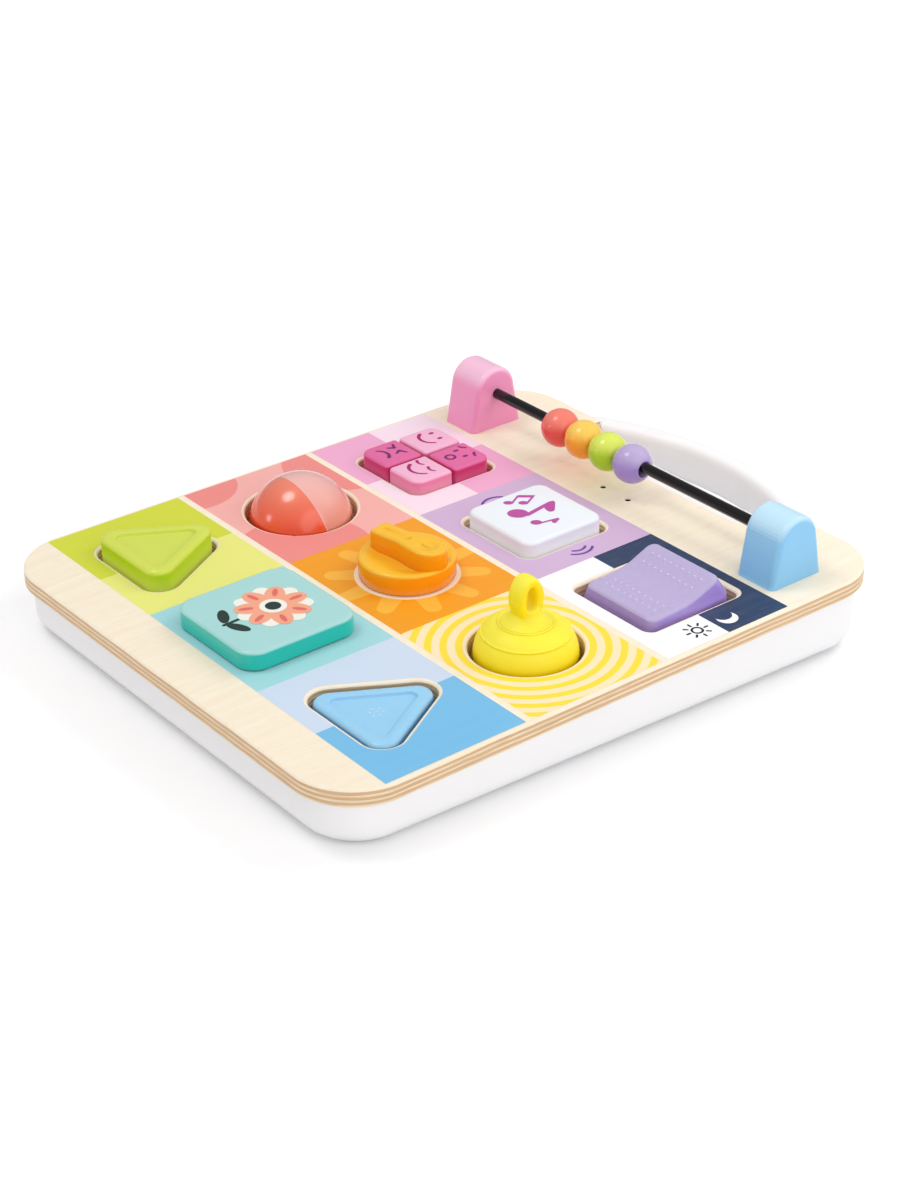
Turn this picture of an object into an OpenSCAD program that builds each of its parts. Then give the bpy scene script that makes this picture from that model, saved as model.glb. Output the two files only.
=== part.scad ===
// Busy board: a sloping plywood play panel on a two-part moulded housing with a carrying handle.
// Millimetres, +Z up, +Y towards the handle. The panel's own frame has its origin on the panel's
// top face, at the panel's centre, and leans by the slope angle about X.

/* [Panel] */
// Width of one column of tiles
tile_w = 93.4; // [90:0.2:100]
// Length of one row of tiles
tile_h = 80; // [78:0.5:90]
// Bare line between two rows
tile_gap = 4; // [2:0.5:8]
// Bare strip in front of the first row
front_strip = 27.2; // [24:0.2:40]
// Bare strip behind the last row, up to the handle edge
far_strip = 72.8; // [70:0.2:90]
// Extra width outside the outer columns
side_margin = 8.4; // [7:0.2:20]
// Thickness of the plywood
board_t = 9; // [8:0.5:12]
// Plan radius of the panel's corners
board_corner_r = 34; // [25:1:40]
// Round-over along the panel's upper edge
board_edge_r = 1.5; // [0.5:0.1:2.5]
// Round-over along the upper edge of each cut-out
hole_edge_r = 1.8; // [0.5:0.1:2]
// Slope of the panel towards the child, in degrees
tilt = 1.8; // [0.5:0.1:2.5]
// Height of the panel's front top edge above the table
front_h = 34.3; // [34:0.1:42]

/* [Housing] */
// Step in from the panel's edge to the housing's wall
shell_inset = 3.5; // [2:0.1:6]
// Thickness of the upper shell's plate
plate_t = 3; // [2.5:0.1:4]
// Wall of the base tray
tray_wall = 2.5; // [2:0.1:3]
// Draft of the tray's sides, in degrees
tray_draft = 1.5; // [0.5:0.1:3]
// Radius along the tray's lower edge
tray_edge_r = 10; // [6:0.5:12]
// Height that the rubber feet stand proud
foot_proud = 0.8; // [0.4:0.1:1.5]
// Wall of the guide collars under the plate
collar_wall = 2; // [1.5:0.1:2.5]

/* [Handle] */
// Reach of the handle past the panel's far edge
handle_reach = 30.5; // [28:0.5:40]
// Half the handle's outer width
handle_half_w = 88; // [80:1:95]
// Radius of the handle's outer curve
handle_arc_r = 170; // [150:1:220]
// Outer corner radius where the bar turns into the housing
handle_turn_r = 14; // [13.5:0.5:18]
// Thickness of the handle bar
bar_w = 12.5; // [11:0.5:13]
// Depth of the bar's top below the panel's top face
bar_top = 2; // [1:0.5:4]
// Depth of the bar's underside below the panel's top face
bar_bottom = 26; // [22:0.5:28]
// Rounding of the bar's edges
bar_edge_r = 5; // [3:0.5:5.5]
// Width of the panel's notch in front of the handle
notch_w = 150.6; // [140:0.5:160]
// Depth of the notch, in from the far edge
notch_d = 29.8; // [25:0.5:32]
// Radius in the notch's inner corners
notch_r = 14; // [6:1:18]

/* [Triangle buttons] */
// Side of the triangle between the corner centres
tri_side = 40; // [38:0.5:41]
// Corner radius of the triangular cut-out
tri_r = 10.6; // [10:0.1:12]
// Height of the raised triangle above the panel
tri_up = 9.5; // [8.5:0.1:10]
// Stroke of the see-saw pair
tri_stroke = 10; // [9:0.1:12.6]
// Side of the recess in the triangle's face
tri_dish_side = 33.5; // [30:0.5:36]
// Corner radius of the recess
tri_dish_r = 3; // [2:0.1:5]
// Depth of the recess
tri_dish_d = 1.5; // [0.8:0.1:2]
// Radius along a triangle's upper edge
tri_edge_r = 2.2; // [1:0.1:3]

/* [Spinner] */
// Side of the square spinner tile
spin_side = 66.6; // [60:0.2:70]
// Corner radius of the spinner tile
spin_r = 11; // [8:0.5:14]
// Height of the tile's top above the panel
spin_top = 10.5; // [8:0.1:12]
// Radius along the tile's upper edge
spin_edge_r = 2; // [1:0.1:3]
// Distance of the spinner's axis in front of its row's centre
spin_forward = 2; // [0:0.5:4]

/* [Dome] */
// Sphere radius of the dome
dome_r = 28.2; // [28.1:0.1:29.5]
// Depth of the sphere's centre below the panel's top face
dome_sink = 8.6; // [8:0.1:10]
// Radius of the dome's straight skirt
dome_skirt_r = 27.3; // [26.5:0.1:27.5]
// Radius of the dome's cut-out
dome_hole_r = 29.9; // [29.5:0.1:32]
// Wall of the translucent shell
dome_wall = 2.2; // [1.5:0.1:3]
// Press stroke of the dome
dome_stroke = 3; // [2:0.1:3.4]
// Lean of the seam between the two tints, from vertical, in degrees
seam_lean = 16; // [0:1:30]

/* [Knob] */
// Radius of the knob's disc
knob_r = 24.9; // [23:0.1:27]
// Height of the disc's top above the panel
knob_disc_top = 11.5; // [9:0.1:13]
// Height of the grip's top above the panel
knob_grip_top = 21; // [18:0.5:24]
// Angle that the grip stands at
knob_angle = 10; // [0:1:45]
// Width of the grip's narrow end
grip_narrow_w = 12; // [10:0.5:14]
// Width of the grip's broad end
grip_broad_w = 17; // [15:0.5:20]

/* [Pull] */
// Radius of the pull's cut-out
pull_hole_r = 28.2; // [27.5:0.1:31]
// Largest radius of the pull
pull_r = 25.8; // [25:0.1:26.8]
// Height of the pull's loop above the panel
pull_top = 39; // [34:0.5:42]
// Outer width of the loop
loop_w = 15.2; // [14:0.1:18]
// Thickness of the loop
loop_t = 9.6; // [8:0.1:11]
// Pull stroke
pull_stroke = 8; // [4:0.5:9]

/* [Square buttons] */
// Side of the face buttons' cut-out
face_hole = 56.4; // [55:0.1:62]
// Side of the music button's cut-out
music_hole = 56.4; // [55:0.1:62]
// Corner radius of both square cut-outs
square_hole_r = 6.7; // [5:0.1:10]
// Gap between two face buttons
face_gap = 0.9; // [0.7:0.1:1.4]
// Gap between the caps and their cut-out
cap_reveal = 2.1; // [0.8:0.1:2.4]
// Height of the face buttons above the panel
face_top = 6.5; // [5:0.1:9]
// Height of the music button above the panel
music_top = 7; // [5:0.1:9]
// Stroke of a face button
face_stroke = 3.5; // [2:0.1:4]
// Stroke of the music button
music_stroke = 4; // [2:0.1:4.1]
// Radius along the face buttons' upper edges
face_edge_r = 1.3; // [0.6:0.1:1.8]
// Radius along the music button's upper edge
music_edge_r = 2.6; // [1:0.1:3]

/* [Rocker] */
// Width of the rocker's cut-out
rocker_hole_w = 57.9; // [57:0.1:64]
// Length of the rocker's cut-out
rocker_hole_l = 61.9; // [61:0.1:68]
// Corner radius of the rocker's cut-out
rocker_hole_r = 5.2; // [4:0.1:9]
// Tilt of the rocker to either side, in degrees
rocker_tilt = 9; // [5:0.5:9.5]
// Height of the rocker's raised ends above the panel when level
rocker_top = 7.6; // [6:0.1:9]
// Length of the rocker's top between its raised ends
rocker_top_l = 47; // [42:0.5:50]
// Width of the rocker's top
rocker_top_w = 50; // [46:0.5:54]
// Radius of the saddle across the rocker's top
saddle_r = 70; // [60:1:90]

/* [Bead rod] */
// Distance between the two posts' centres
post_pitch = 237; // [225:1:245]
// Width of a post along the rod
post_w = 25.5; // [20:0.5:28]
// Height of a post above the panel
post_h = 35.8; // [32:0.1:40]
// Radius of a post's round top
post_top_r = 13.5; // [10:0.1:14.5]
// Length of a post's foot
post_foot_l = 35.6; // [32:0.5:40]
// Distance of the posts behind the last row
post_setback = 21.3; // [19:0.1:24]
// Diameter of the rod
rod_d = 6; // [5:0.1:7]
// Height of the rod above the panel
rod_h = 20.7; // [18:0.1:22]
// Diameter of a bead
bead_d = 21.6; // [20:0.1:23]
// Length of a bead along the rod, over its flat ends
bead_l = 19.2; // [17:0.1:20]
// Bore of a bead
bead_bore_d = 8.8; // [7.2:0.1:9]
// Distance of the bead row's middle to the left of the panel's centre line
bead_row_left = 21.3; // [0:0.1:30]

/* [Fits] */
// Clearance round a piece that slides in a guide
run_gap = 0.3; // [0.2:0.05:0.4]
// Radial clearance of a pin or shaft in its bore
pin_gap = 0.05; // [0.02:0.01:0.1]
// Clearance between fixed pieces
fit_gap = 0.1; // [0.05:0.01:0.2]
// Radius of the see-saw's and the rocker's pins
pin_r = 2; // [1.5:0.1:2.5]

/* [Hidden] */
$fn = 96;
eps = 0.01;
side_inset = 0.02;
board_w = 3 * tile_w + 2 * side_margin;
board_l = front_strip + 3 * tile_h + 2 * tile_gap + far_strip;
col_x = [-tile_w, 0, tile_w];
row_y = [for (r = [0:2]) -board_l / 2 + front_strip + tile_h * (r + 0.5) + tile_gap * r];
last_print_y = board_l / 2 - far_strip;
under_board = -board_t;
under_plate = -board_t - plate_t;

// Place of the panel's frame over the table, with the whole object centred front to back
handle_y = board_l / 2 + handle_reach;
front_y = -board_l / 2 * cos(tilt);
back_y = handle_y * cos(tilt) + (bar_bottom - bar_edge_r) * sin(tilt);
lift_z = front_h + board_l / 2 * sin(tilt);
shift_y = -(front_y + back_y) / 2;

// Housing
shell_w = board_w - 2 * shell_inset;
shell_l = board_l - 2 * shell_inset;
shell_r = board_corner_r - shell_inset;
shell_edge_r = 0.4;
tray_floor_t = tray_wall;
tray_h = front_h + board_l * sin(tilt);
bar_knuckle = 0.1;
tray_shift_y = shift_y + (board_t + plate_t) * sin(tilt);

// Flanges that hold the caps under the panel
flange_t = 2.2;
flange_lip = 2.2;
cap_wall = 2.2;
flange_top = under_board - run_gap;
flange_bottom = flange_top - flange_t;

// See-saw
lever_t = 4;
lever_w = 14;
lever_tip = 6;
lever_hub_r = 4.5;
lever_clear = 1.2;
lever_angle = atan(tri_stroke / 2 / tile_w);
lever_z = floor_z(row_y[0]) + lever_clear + lever_t / 2 / cos(lever_angle)
    + (tile_w + lever_tip) * tan(lever_angle);
stem_r = 6;
stem_end = lever_z + tri_stroke / 2 + lever_t / 2 / cos(lever_angle) + run_gap;
tri_cap_r = tri_r - 2.3;
tri_flange_r = tri_r + flange_lip;
tri_collar_bottom = flange_bottom - tri_stroke - 1;
ear_t = 3;
ear_w = 10;

// Shafts through the panel, for the spinner and the knob
seat_t = 0.5;
seat_gap = 0.1;
shaft_r = 5;
bush_r = 8;
bush_flange_r = 13;
washer_r = 9;
washer_t = 1.5;
screw_r = 1.6;
screw_head_r = 3.4;
screw_head_t = 2;
shaft_end = under_plate - run_gap;
lever_hub_l = 2 * (washer_r + spin_forward) + 3;

// Dome
dome_flange_r = dome_hole_r + flange_lip + 0.6;
dome_collar_bottom = flange_bottom - dome_stroke - 2.4;
light_board_t = 1.6;

// Pull
pull_flange_r = pull_hole_r + 3;
pull_flange_top = under_board - run_gap - pull_stroke;
pull_flange_bottom = pull_flange_top - 2.5;
pull_seat_t = 2;

// Square caps
face_side = (face_hole - 2 * cap_reveal - face_gap) / 2;
face_pitch = face_side + face_gap;
face_inner_r = 2;
face_skirt_inset = 1.2;
face_divider_rise = 2;
music_side = music_hole - 2 * cap_reveal;
pocket_half = max(face_hole, music_hole) / 2 + flange_lip + run_gap;
pad_dome_top = flange_bottom - max(face_stroke, music_stroke) - 0.2;
pad_dome_h = 1.1;
pad_t = 0.8;
pcb_top = pad_dome_top - pad_dome_h - pad_t;
pcb_t = 1.6;
pcb_half_l = 24;
pocket_bottom = pcb_top + pad_t + run_gap;
boss_r = 3;
boss_off = pocket_half + collar_wall + boss_r + 1;

// Rocker
rocker_z = under_plate - pin_r;
rocker_y = row_y[2] + 1;
rocker_base_w = rocker_hole_w - 4.9;
rocker_base_l = rocker_hole_l - 7.9;
rocker_skirt = 4;
rocker_ear_x = rocker_hole_w / 2 + 2.5;
rocker_bump_r = 0.8;
rocker_bump_pitch = 4.6;

// Posts and rod
post_x = post_pitch / 2;
post_y = last_print_y + post_setback;
post_sink = 8;
post_edge_r = 3;
post_splay = post_foot_l / 2 - post_top_r - 0.3;
post_corner_x = post_splay * (post_h - post_top_r + post_sink) / (post_h - post_top_r);
rod_depth = 14;
rod_l = post_pitch - post_w + 2 * rod_depth;
bead_pitch = bead_l + run_gap;

// Speaker
speaker_y = last_print_y + 17;
speaker_r = 18;
speaker_t = 9;
speaker_ring_t = 2;
sound_hole_r = 1.75;
sound_hole_x = 10;

// Battery compartment, in the tray's own frame
cell_r = 5.25;
cell_l = 44.5;
cell_pitch = 11.2;
cell_count = 3;
bay_l = 52;
bay_w = cell_pitch * cell_count + 1;
bay_h = 2 * cell_r + 1.2;
bay_wall = 1.8;
bay_y = tray_shift_y + (row_y[1] + row_y[2]) / 2;
door_t = 2;
door_lip = 3;
bay_floor = foot_proud + door_t;
door_screw_y = bay_y + bay_w / 2 + door_lip + 3;
door_boss_r = 5.5;
door_boss_h = 10;
door_head_t = 1;

tray_screw_places = [
    for (x = [-1, 1], y = [-1, 1]) [x * (shell_w / 2 - 17), y * (shell_l / 2 - 20)],
    for (x = [-1, 1]) [x * tile_w / 2, (row_y[0] + row_y[1]) / 2]
];
tray_boss_r = 4.5;
tray_counterbore = 8;
tray_boss_top = under_plate - 6;
panel_screw_places = [
    for (x = [-1, 1], y = [row_y[0] - 27, row_y[1], last_print_y]) [x * tile_w / 2, y]
];
foot_r = 7;
foot_t = 2;
foot_places = [for (x = [-1, 1], y = [-1, 1]) [x * (shell_w / 2 - 38), y * (shell_l / 2 - 34)]];

// Depth of the table below the panel's top face, square to the panel, at a place along the panel
function table_depth(y) = front_h / cos(tilt) + (y + board_l / 2) * tan(tilt);

// Height of the tray's inner floor in the panel's frame, at a place along the panel
function floor_z(y) = -table_depth(y) + (tray_floor_t + foot_proud) / cos(tilt);

// Corner centres of a rectangle with corner radius r, counter-clockwise
function rect_corners(w, l, r) =
    [for (s = [[-1, -1], [1, -1], [1, 1], [-1, 1]]) [s[0] * (w / 2 - r), s[1] * (l / 2 - r)]];

// Corner centres of a triangle that points towards +Y, counter-clockwise
function tri_corners(side) =
    let (h = side * sqrt(3) / 2) [[-side / 2, -h / 2], [side / 2, -h / 2], [0, h / 2]];

// Direction of the edge that leaves a corner
function edge_angle(corners, i) =
    let (n = len(corners), d = corners[(i + 1) % n] - corners[i % n]) atan2(d[1], d[0]);

// From the panel's frame to the object's frame
module on_board() {
    translate([0, shift_y, lift_z]) rotate([tilt, 0, 0]) children();
}

// From a piece's own frame to its tile
module at_tile(col, row) {
    on_board() translate([col_x[col], row_y[row], 0]) children();
}

// Everything above a height in the panel's frame
module above(z) {
    on_board() translate([-board_w, -board_l, z]) cube([2 * board_w, 2 * board_l, 200]);
}

// Half section of a slab from its corner axis outwards, with rounded outer edges
module edge_section(r, z0, z1, top_r = 0, bottom_r = 0) {
    difference() {
        translate([0, z0]) square([r, z1 - z0]);
        if (top_r > 0) difference() {
            translate([r - top_r, z1 - top_r]) square(2 * top_r);
            translate([r - top_r, z1 - top_r]) circle(top_r);
        }
        if (bottom_r > 0) difference() {
            translate([r - bottom_r, z0 - bottom_r]) square(2 * bottom_r);
            translate([r - bottom_r, z0 + bottom_r]) circle(bottom_r);
        }
    }
}

// A convex slab whose half section is the child: a core, a turned corner at each corner centre and
// a straight bar along each side, which lies a hair inside the corners' tangent
module swept_slab(corners, r, z0, z1) {
    n = len(corners);
    core = [for (i = [0:n - 1], a = [edge_angle(corners, i + n - 1), edge_angle(corners, i)])
        corners[i] + r / 2 * [sin(a), -cos(a)]];
    translate([0, 0, z0]) linear_extrude(z1 - z0) polygon(core);
    for (i = [0:n - 1]) {
        next = corners[(i + 1) % n];
        translate(corners[i]) rotate_extrude() children();
        translate(next) rotate([0, 0, edge_angle(corners, i) - 90]) rotate([90, 0, 0])
            linear_extrude(norm(next - corners[i])) translate([-side_inset, 0]) children();
    }
}

// A rounded slab with its edges rounded above and below
module rounded_slab(corners, r, z0, z1, top_r = 0, bottom_r = 0) {
    swept_slab(corners, r, z0, z1) edge_section(r, z0, z1, top_r, bottom_r);
}

// A straight-sided slab with rounded plan corners
module plain_slab(corners, r, z0, z1) {
    swept_slab(corners, r, z0, z1) translate([0, z0]) square([r, z1 - z0]);
}

// Half section of a cut-out with a rounded upper edge
module hole_section(r) {
    translate([0, under_board - 1]) square([r, board_t + 1 + eps]);
    difference() {
        translate([r - eps, -hole_edge_r]) square([hole_edge_r + eps, hole_edge_r + eps]);
        translate([r + hole_edge_r, -hole_edge_r]) circle(hole_edge_r);
    }
}

// A panel cut-out with rounded plan corners
module panel_hole(corners, r) {
    swept_slab(corners, r, under_board - 1, eps) hole_section(r);
}

// A round panel cut-out
module round_panel_hole(r) {
    rotate_extrude() hole_section(r);
}

// A tube along Z
module tube(r_out, r_in, z0, z1) {
    translate([0, 0, z0]) difference() {
        cylinder(r = r_out, h = z1 - z0);
        translate([0, 0, -1]) cylinder(r = r_in, h = z1 - z0 + 2);
    }
}

// A pan-head screw that stands on its head, with the head's underside at z0 and its tip at z1
module screw(z0, z1) {
    translate([0, 0, z0 - screw_head_t]) cylinder(r = screw_head_r, h = screw_head_t);
    translate([0, 0, z0 - eps]) cylinder(r = screw_r, h = z1 - z0 + eps);
}

// Section of the hollow handle bar, with its outer face on the axis, between two heights
module bar_section(z0, z1) {
    intersection() {
        difference() {
            translate([-bar_w, 0]) bar_outline(bar_w, -bar_bottom, -bar_top, bar_edge_r);
            translate([-bar_w + tray_wall, 0]) bar_outline(bar_w - 2 * tray_wall,
                -bar_bottom + tray_wall, -bar_top - tray_wall, bar_edge_r - tray_wall);
        }
        translate([-bar_w - 1, z0]) square([bar_w + 2, z1 - z0]);
    }
}

// A rectangle with rounded corners, from x = 0 to w and from y = y0 to y1
module bar_outline(w, y0, y1, r) {
    translate([r, y0]) square([w - 2 * r, y1 - y0]);
    translate([0, y0 + r]) square([w, y1 - y0 - 2 * r]);
    for (x = [r, w - r], y = [y0 + r, y1 - r]) translate([x, y]) circle(r);
}

// The handle bar between two heights: a shallow arc and two solid round ends at the housing
module handle_bar(z0, z1) {
    turn_x = handle_half_w - handle_turn_r;
    arc_y = handle_y - handle_arc_r;
    turn_y = arc_y + sqrt(pow(handle_arc_r - handle_turn_r, 2) - pow(turn_x, 2));
    half_arc = asin(turn_x / (handle_arc_r - handle_turn_r));
    root_y = shell_l / 2 - tray_wall / 2;
    end_z0 = max(z0 + bar_knuckle / 2, -bar_bottom - bar_knuckle);
    end_z1 = min(z1 - bar_knuckle / 2, -bar_top + bar_knuckle);
    translate([0, arc_y, 0]) rotate([0, 0, 90 - half_arc])
        rotate_extrude(angle = 2 * half_arc) translate([handle_arc_r, 0]) bar_section(z0, z1);
    for (side = [0, 1]) mirror([side, 0, 0]) intersection() {
        translate([turn_x, turn_y, 0]) rotate_extrude()
            edge_section(handle_turn_r + bar_knuckle, end_z0, end_z1,
                z1 > -bar_top ? bar_edge_r : 0, z0 < -bar_bottom ? bar_edge_r : 0);
        translate([handle_half_w - bar_w, root_y, -100]) cube([2 * bar_w, 100, 200]);
    }
}

// Half section of the tray, from a corner axis outwards, grown inwards by the wall for the cavity
module tray_section(inner) {
    edge_r = tray_edge_r - inner;
    bottom = foot_proud + inner;
    r = shell_r - inner;
    centre = r - (edge_r + sin(tray_draft) * (tray_h - bottom - edge_r)) / cos(tray_draft);
    translate([centre, bottom + edge_r + eps]) circle(edge_r);
    polygon([[0, bottom], [centre + 0.5, bottom], [centre + 0.5, bottom + edge_r],
        [centre + edge_r * cos(tray_draft) - side_inset, bottom + edge_r * (1 - sin(tray_draft))],
        [r - side_inset, tray_h], [0, tray_h]]);
}

// The tray's outer form, or its cavity
module tray_form(inner) {
    corners = rect_corners(shell_w, shell_l, shell_r);
    translate([0, tray_shift_y, 0]) swept_slab(corners, shell_r - inner, foot_proud + inner, tray_h)
        tray_section(inner);
}

// A box centred on the battery bay, between two heights
module bay_box(l, w, z0, z1) {
    translate([-l / 2, bay_y - w / 2, z0]) cube([l, w, z1 - z0]);
}

// Places of the tray's screws
module at_tray_screws() {
    for (p = tray_screw_places) translate([p[0], tray_shift_y + p[1], 0]) children();
}

module base_tray() {
    color("whitesmoke") difference() {
        union() {
            difference() {
                tray_form(0);
                tray_form(tray_wall);
            }
            difference() {
                at_tray_screws() translate([0, 0, foot_proud]) cylinder(r = tray_boss_r, h = tray_h);
                above(tray_boss_top);
            }
            bay_box(bay_l + 2 * bay_wall, bay_w + 2 * bay_wall, foot_proud,
                bay_floor + bay_h + bay_wall);
            translate([0, door_screw_y, foot_proud]) cylinder(r = door_boss_r, h = door_boss_h);
            on_board() handle_bar(-bar_bottom - 1, under_plate);
        }
        above(under_plate);
        bay_box(bay_l, bay_w, foot_proud - 1, bay_floor + bay_h);
        bay_box(bay_l + 2 * door_lip, bay_w + 2 * door_lip, foot_proud - 1, foot_proud + door_t);
        translate([0, door_screw_y, foot_proud - 1])
            cylinder(r = screw_head_r + 1.5, h = 1 + door_t);
        translate([0, door_screw_y, foot_proud - 1]) cylinder(r = screw_r, h = door_boss_h);
        at_tray_screws() {
            translate([0, 0, -1]) cylinder(r = screw_head_r + 0.4, h = tray_counterbore + 1);
            cylinder(r = screw_r + fit_gap, h = tray_h);
        }
        for (p = foot_places) translate([p[0], tray_shift_y + p[1], foot_proud - 1])
            cylinder(r = foot_r + fit_gap, h = 1 + foot_t - foot_proud);
    }
}

// Guide collars under the plate, as solid blocks
module collar_blocks() {
    for (col = [0, 2]) translate([col_x[col], row_y[0], 0])
        soft_triangle(tri_side, tri_flange_r + run_gap + collar_wall, tri_collar_bottom,
            under_plate + eps);
    translate([col_x[0], row_y[1], dome_collar_bottom])
        cylinder(r = dome_flange_r + run_gap + collar_wall, h = under_plate - dome_collar_bottom + eps);
    translate([col_x[2], row_y[1], pull_flange_bottom - run_gap - pull_seat_t])
        cylinder(r = pull_flange_r + run_gap + collar_wall,
            h = under_plate - pull_flange_bottom + run_gap + pull_seat_t + eps);
    for (col = [0, 1]) translate([col_x[col], row_y[2], 0])
        plain_slab(pocket_corners(collar_wall), square_hole_r + flange_lip + run_gap + collar_wall,
            pocket_bottom, under_plate + eps);
}

// Corner centres of the pocket under a square cut-out, grown outwards
function pocket_corners(grow) = rect_corners(2 * (pocket_half + grow), 2 * (pocket_half + grow),
    square_hole_r + flange_lip + run_gap + grow);

// Room for the moving pieces inside the collars
module collar_rooms() {
    for (col = [0, 2]) translate([col_x[col], row_y[0], 0])
        soft_triangle(tri_side, tri_flange_r + run_gap, tri_collar_bottom - 1, 1);
    translate([col_x[0], row_y[1], dome_collar_bottom - 1])
        cylinder(r = dome_flange_r + run_gap, h = 40);
    translate([col_x[2], row_y[1], pull_flange_bottom - run_gap])
        cylinder(r = pull_flange_r + run_gap, h = 40);
    translate([col_x[2], row_y[1], -60]) cylinder(r = pull_flange_r - 6, h = 60);
    for (col = [0, 1]) translate([col_x[col], row_y[2], 0])
        plain_slab(pocket_corners(0), square_hole_r + flange_lip + run_gap, pocket_bottom - 1, 1);
    plain_slab([for (p = rect_corners(rocker_hole_w + 4.4, rocker_hole_l + 8, rocker_hole_r))
        p + [col_x[2], rocker_y]], rocker_hole_r, under_plate - 1, 1);
    for (col = [0, 2]) translate([col_x[col] / 2, row_y[0] - lever_w / 2 - 0.6, tri_collar_bottom - 1])
        translate([-tile_w / 2, 0, 0])
            cube([tile_w, lever_w + 1.2, under_plate - 1 - tri_collar_bottom]);
}

// Walls between the four face buttons
module face_divider() {
    wall = face_gap + 2 * face_skirt_inset - 2 * run_gap;
    for (a = [0, 90]) translate([col_x[0], row_y[2], 0]) rotate([0, 0, a])
        translate([-pocket_half - eps, -wall / 2, pocket_bottom])
            cube([2 * pocket_half + 2 * eps, wall, under_plate + face_divider_rise - pocket_bottom]);
}

// Ears that carry the see-saw's pin
module seesaw_ears() {
    for (side = [-1, 1])
        translate([-ear_w / 2, row_y[0] + side * (lever_hub_l / 2 + run_gap + ear_t / 2) - ear_t / 2,
            lever_z - pin_r - 2]) cube([ear_w, ear_t, under_plate - lever_z + pin_r + 2 + eps]);
}

// Ears that carry the rocker's pin
module rocker_ears() {
    for (side = [-1, 1])
        translate([col_x[2] + side * (rocker_ear_x + ear_t / 2) - ear_t / 2, rocker_y - ear_w / 2,
            rocker_z - pin_r - 2]) cube([ear_t, ear_w, under_plate - rocker_z + pin_r + 2 + eps]);
}

// Places of the circuit board's screws
module at_pcb_screws() {
    for (x = [col_x[0] - boss_off, tile_w / -2, col_x[1] + boss_off], y = [-18, 18])
        translate([x, row_y[2] + y, 0]) children();
}

module upper_shell() {
    color("white") difference() {
        union() {
            on_board() difference() {
                union() {
                    rounded_slab(rect_corners(shell_w, shell_l, shell_r), shell_r, under_plate,
                        under_board, shell_edge_r, shell_edge_r);
                    collar_blocks();
                    seesaw_ears();
                    rocker_ears();
                    at_pcb_screws() translate([0, 0, pcb_top])
                        cylinder(r = boss_r, h = under_plate - pcb_top + eps);
                    translate([0, speaker_y, 0]) tube(speaker_r + fit_gap + speaker_ring_t,
                        speaker_r + fit_gap, under_plate - speaker_t / 2, under_plate + eps);
                    difference() {
                        handle_bar(under_plate, 0);
                        translate([-board_w / 2, 0, under_board])
                            cube([board_w, board_l / 2 + fit_gap, board_t + 1]);
                    }
                }
                collar_rooms();
                translate([0, speaker_y, under_plate - 1]) cylinder(r = sound_hole_x + 4, h = 20);
                translate([0, row_y[0] - spin_forward, -60]) cylinder(r = bush_r + fit_gap, h = 60);
                translate([0, row_y[1], -60]) cylinder(r = bush_r + fit_gap, h = 60);
                translate([0, row_y[0] + 20, lever_z]) rotate([90, 0, 0])
                    cylinder(r = pin_r + pin_gap / 2, h = 40);
                translate([col_x[2] - 50, rocker_y, rocker_z]) rotate([0, 90, 0])
                    cylinder(r = pin_r + pin_gap / 2, h = 100);
                at_pcb_screws() translate([0, 0, pcb_top - 1]) cylinder(r = screw_r, h = 5.5);
                for (p = panel_screw_places) translate([p[0], p[1], under_plate - 1])
                    cylinder(r = screw_r + fit_gap, h = 20);
                for (x = [-post_x, post_x], y = [-1, 1]) translate([x, post_y + y * 8, under_plate - 1])
                    cylinder(r = screw_head_r + 0.4, h = 20);
            }
            on_board() face_divider();
            difference() {
                at_tray_screws() cylinder(r = tray_boss_r, h = tray_h);
                on_board() translate([-board_w, -board_l, tray_boss_top - 100])
                    cube([2 * board_w, 2 * board_l, 100]);
                above(under_plate + 1);
            }
        }
        difference() {
            at_tray_screws() cylinder(r = screw_r, h = tray_h);
            above(under_board - 1);
        }
    }
}

module top_board() {
    notch_corners = [[-notch_w / 2 + notch_r, board_l / 2 - notch_d + notch_r],
        [notch_w / 2 - notch_r, board_l / 2 - notch_d + notch_r],
        [notch_w / 2 - notch_r, board_l / 2 + notch_r + 2],
        [-notch_w / 2 + notch_r, board_l / 2 + notch_r + 2]];
    color("burlywood") on_board() difference() {
        rounded_slab(rect_corners(board_w, board_l, board_corner_r), board_corner_r,
            under_board, 0, board_edge_r, board_edge_r / 2);
        for (col = [0, 2]) translate([col_x[col], row_y[0], 0])
            panel_hole(tri_corners(tri_side), tri_r);
        translate([col_x[0], row_y[1], 0]) round_panel_hole(dome_hole_r);
        translate([col_x[2], row_y[1], 0]) round_panel_hole(pull_hole_r);
        translate([col_x[0], row_y[2], 0])
            panel_hole(rect_corners(face_hole, face_hole, square_hole_r), square_hole_r);
        translate([col_x[1], row_y[2], 0])
            panel_hole(rect_corners(music_hole, music_hole, square_hole_r), square_hole_r);
        translate([col_x[2], row_y[2], 0])
            panel_hole(rect_corners(rocker_hole_w, rocker_hole_l, rocker_hole_r), rocker_hole_r);
        panel_hole(notch_corners, notch_r);
        for (y = [row_y[0] - spin_forward, row_y[1]]) translate([0, y, under_board - 1])
            cylinder(r = bush_r + fit_gap, h = board_t + 2);
        for (x = [-sound_hole_x, sound_hole_x]) translate([x, speaker_y, under_board - 1])
            cylinder(r = sound_hole_r, h = board_t + 2);
        for (p = panel_screw_places) translate([p[0], p[1], under_board - 1])
            cylinder(r = screw_r, h = 6);
        for (x = [-post_x, post_x], y = [-1, 1]) translate([x, post_y + y * 8, under_board - 1])
            cylinder(r = screw_r + fit_gap, h = board_t + 2);
    }
}

module rubber_feet() {
    color("dimgray") for (p = foot_places) translate([p[0], tray_shift_y + p[1], 0])
        cylinder(r = foot_r, h = foot_t);
}

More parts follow.
